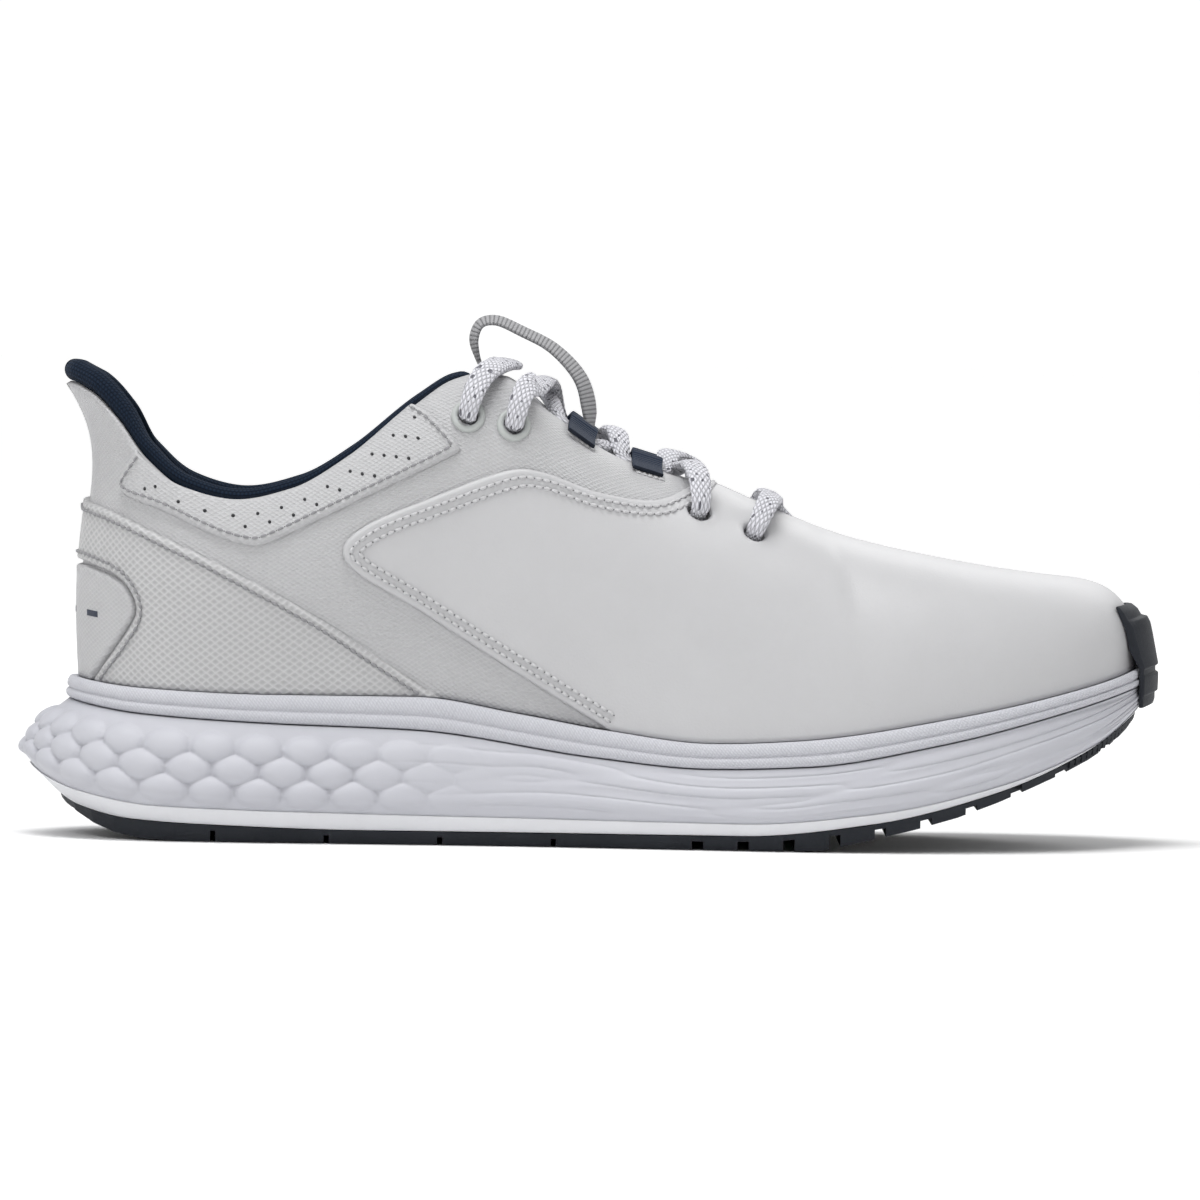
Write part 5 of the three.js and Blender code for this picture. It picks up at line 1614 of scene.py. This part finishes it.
def make_bartacks():
    """Dense blocks of stitches that hold the webbing loops to the eyestay."""
    rows = []
    for station in LOOP_STATIONS:
        for side in SIDES:
            edge, ahead, _, _ = edge_frame(station, side)
            for k in range(5):
                below = BARTACK_DEPTH + k * BARTACK_PITCH
                s0 = np.interp(
                    edge[0] + ahead[0] * np.linspace(-4, 4, 14), top_x(TABLE_S[250:400]), TABLE_S[250:400],
                )
                heights = 1 - below / np.interp(s0, TABLE_S, RISE_AT[:, -1])
                base = off_surface(s0, heights, np.full(14, float(side)), np.full(14, QUARTER_OUT + 0.05))
                above = off_surface(s0, heights, np.full(14, float(side)), np.full(14, QUARTER_OUT + 1.05))
                rows.append((base, above - base))
    stitches("bartack_stitching", rows, THREAD, pitch=1.5, length=1.7, radius=0.3)


def make_eyelet_rings():
    """Moulded rings round the two rear eyelets of each side."""
    profile = [
        (2.75, -1.2), (2.75, 0.45), (2.95, 0.75), (3.35, 0.95), (3.9, 0.95), (4.3, 0.75), (4.5, 0.4),
        (4.55, 0.0), (4.5, -0.3), (3.2, -0.4),
    ]
    steps = 48
    for i in (0, 1):
        for side in SIDES:
            s, h = EYELETS[i]
            centre = at_upper(s, h, side, QUARTER_OUT)
            normal = unit(at_upper(s, h, side, QUARTER_OUT + 2) - centre)
            e1 = unit(np.cross(normal, [0.3, 0.1, 1.0]))
            e2 = np.cross(normal, e1)
            verts = []
            for k in range(steps):
                a = 2 * math.pi * k / steps
                ray = e1 * math.cos(a) + e2 * math.sin(a)
                verts += [centre + ray * r + normal * z for r, z in profile]
            faces = grid_faces(steps, len(profile), close_rows=True, close_columns=True)
            make_object(
                f"eyelet_rim_{SIDE_NAME[side]}_{i + 1}", verts, turned_out(np.array(verts), faces), RING,
                replaces=(f"eyelet_ring_{SIDE_NAME[side]}_{i + 1}",), slot="eyelet",
            )


# ---------------------------------------------------------------- camera, floor and light

def make_camera():
    target = Vector((0.0015, 0.0, 0.064))
    elevation, roll, distance = math.radians(1.7), math.radians(0.74), 2.5
    data = bpy.data.cameras.new("camera")
    data.sensor_width = 36
    data.lens = 36 * distance / 0.3214
    data.clip_end = 50
    camera = bpy.data.objects.new("camera", data)
    add_to_scene(camera)
    forward = Vector((0, math.cos(elevation), -math.sin(elevation)))
    lean = Vector((-math.sin(roll), 0, math.cos(roll)))
    right = forward.cross(lean).normalized()
    up = right.cross(forward)
    matrix = np.eye(4)
    for column, axis in enumerate((right, up, -forward)):
        matrix[:3, column] = axis
    matrix[:3, 3] = target - forward * distance
    camera.matrix_world = Matrix(matrix.tolist())
    bpy.context.scene.camera = camera


FLOOR_SIZE = 60.0
FLOOR_DROP = -0.0002
GLOW_REACH = (0.35, 1.6)
GLOW_STRENGTH = 0.6
SKY_BAND = (0.13, 0.26)
SKY_STRENGTHS = (1.05, 0.4)


def make_floor():
    """A pale floor that glows faintly away from the shoe, where the lamps no longer reach."""
    m, tree, shader = node_material("pale_floor", (0.93, 0.93, 0.93), 0.9, specular_ior_level=0.1)
    distance = tree.nodes.new("ShaderNodeVectorMath")
    distance.operation = "LENGTH"
    tree.links.new(object_space(tree), distance.inputs[0])
    glow = map_range(tree, distance.outputs["Value"], GLOW_REACH, (0, GLOW_STRENGTH), smooth=True)
    shader.inputs["Emission Color"].default_value = (1, 1, 1, 1)
    tree.links.new(glow, shader.inputs["Emission Strength"])
    one_sided = tree.nodes.new("ShaderNodeMixShader")
    tree.links.new(tree.nodes.new("ShaderNodeNewGeometry").outputs["Backfacing"], one_sided.inputs["Fac"])
    tree.links.new(shader.outputs["BSDF"], one_sided.inputs[1])
    tree.links.new(tree.nodes.new("ShaderNodeBsdfTransparent").outputs["BSDF"], one_sided.inputs[2])
    tree.links.new(one_sided.outputs["Shader"], tree.nodes["Material Output"].inputs["Surface"])
    mesh = bpy.data.meshes.new("floor")
    half = FLOOR_SIZE / 2
    corners = [(-half, -half), (half, -half), (half, half), (-half, half)]
    mesh.from_pydata([(x, y, FLOOR_DROP) for x, y in corners], [], [(0, 1, 2, 3)])
    mesh.materials.append(m)
    o = bpy.data.objects.new("floor", mesh)
    add_to_scene(o)


def make_sky():
    """White near the horizon and softer overhead."""
    world = bpy.data.worlds.new("studio")
    world.use_nodes = True
    tree = world.node_tree
    split = tree.nodes.new("ShaderNodeSeparateXYZ")
    tree.links.new(tree.nodes.new("ShaderNodeTexCoord").outputs["Generated"], split.inputs["Vector"])
    level = map_range(tree, split.outputs["Z"], SKY_BAND, SKY_STRENGTHS, smooth=True)
    tree.links.new(level, tree.nodes["Background"].inputs["Strength"])
    tree.nodes["Background"].inputs["Color"].default_value = (1, 1, 1, 1)
    bpy.context.scene.world = world


def area_light(name, place, aim, size, power, color=(1, 1, 1)):
    data = bpy.data.lights.new(name, "AREA")
    data.shape = "RECTANGLE"
    data.size, data.size_y = size
    data.energy = power
    data.color = color
    o = bpy.data.objects.new(name, data)
    o.location = place
    o.rotation_euler = (Vector(aim) - Vector(place)).to_track_quat("-Z", "Y").to_euler()
    add_to_scene(o)


def make_lights():
    make_sky()
    bpy.context.scene.view_settings.view_transform = "Standard"
    area_light("overhead", (-0.15, -0.25, 1.4), (0, 0, 0.03), (0.9, 0.6), 15)
    area_light("front", (-0.8, -1.3, 1.3), (0, 0, 0.05), (0.6, 0.4), 7)
    area_light("back", (0.5, 1.1, 0.9), (0, 0, 0.06), (1.0, 0.6), 5)


RIM_WHITE = smooth_leather("rim_rubber", (0.64, 0.645, 0.67), (0.71, 0.715, 0.74))
TONGUE_SKIN = smooth_leather("tongue_skin", (0.5, 0.5, 0.51), (0.58, 0.58, 0.59))
STIFF = plain_fabric("stiffener_board", (0.3, 0.3, 0.31), (0.4, 0.4, 0.41), 700)

KEPT_NODES = {
    "insole_board": BOARD,
    "heel_counter": STIFF,
    "toe_puff": STIFF,
    "vamp_lining": LINING,
}


def finish_kept_nodes():
    for name, material in KEPT_NODES.items():
        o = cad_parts[name]
        o.data.materials.clear()
        o.data.materials.append(material)


make_camera()
make_floor()
make_lights()
make_quarters()
make_vamp()
make_strap()
make_collar_panels()
make_midsole()
make_foxing()
make_carrier()
copied("outsole", "outsole_rubber", 0.35, 2, RUBBER)
make_nubs()
make_bumper()
make_collar_roll()
lining_sheet("heel_lining_pad", 0, 4.6, "heel_lining", 0.965, LINING, "collar_knit", 2.2)
make_sockliner()
make_tongue()
make_pull_ribbon()
make_eyelet_rings()
make_lace_loops()
make_bartacks()
make_lace()
finish_kept_nodes()
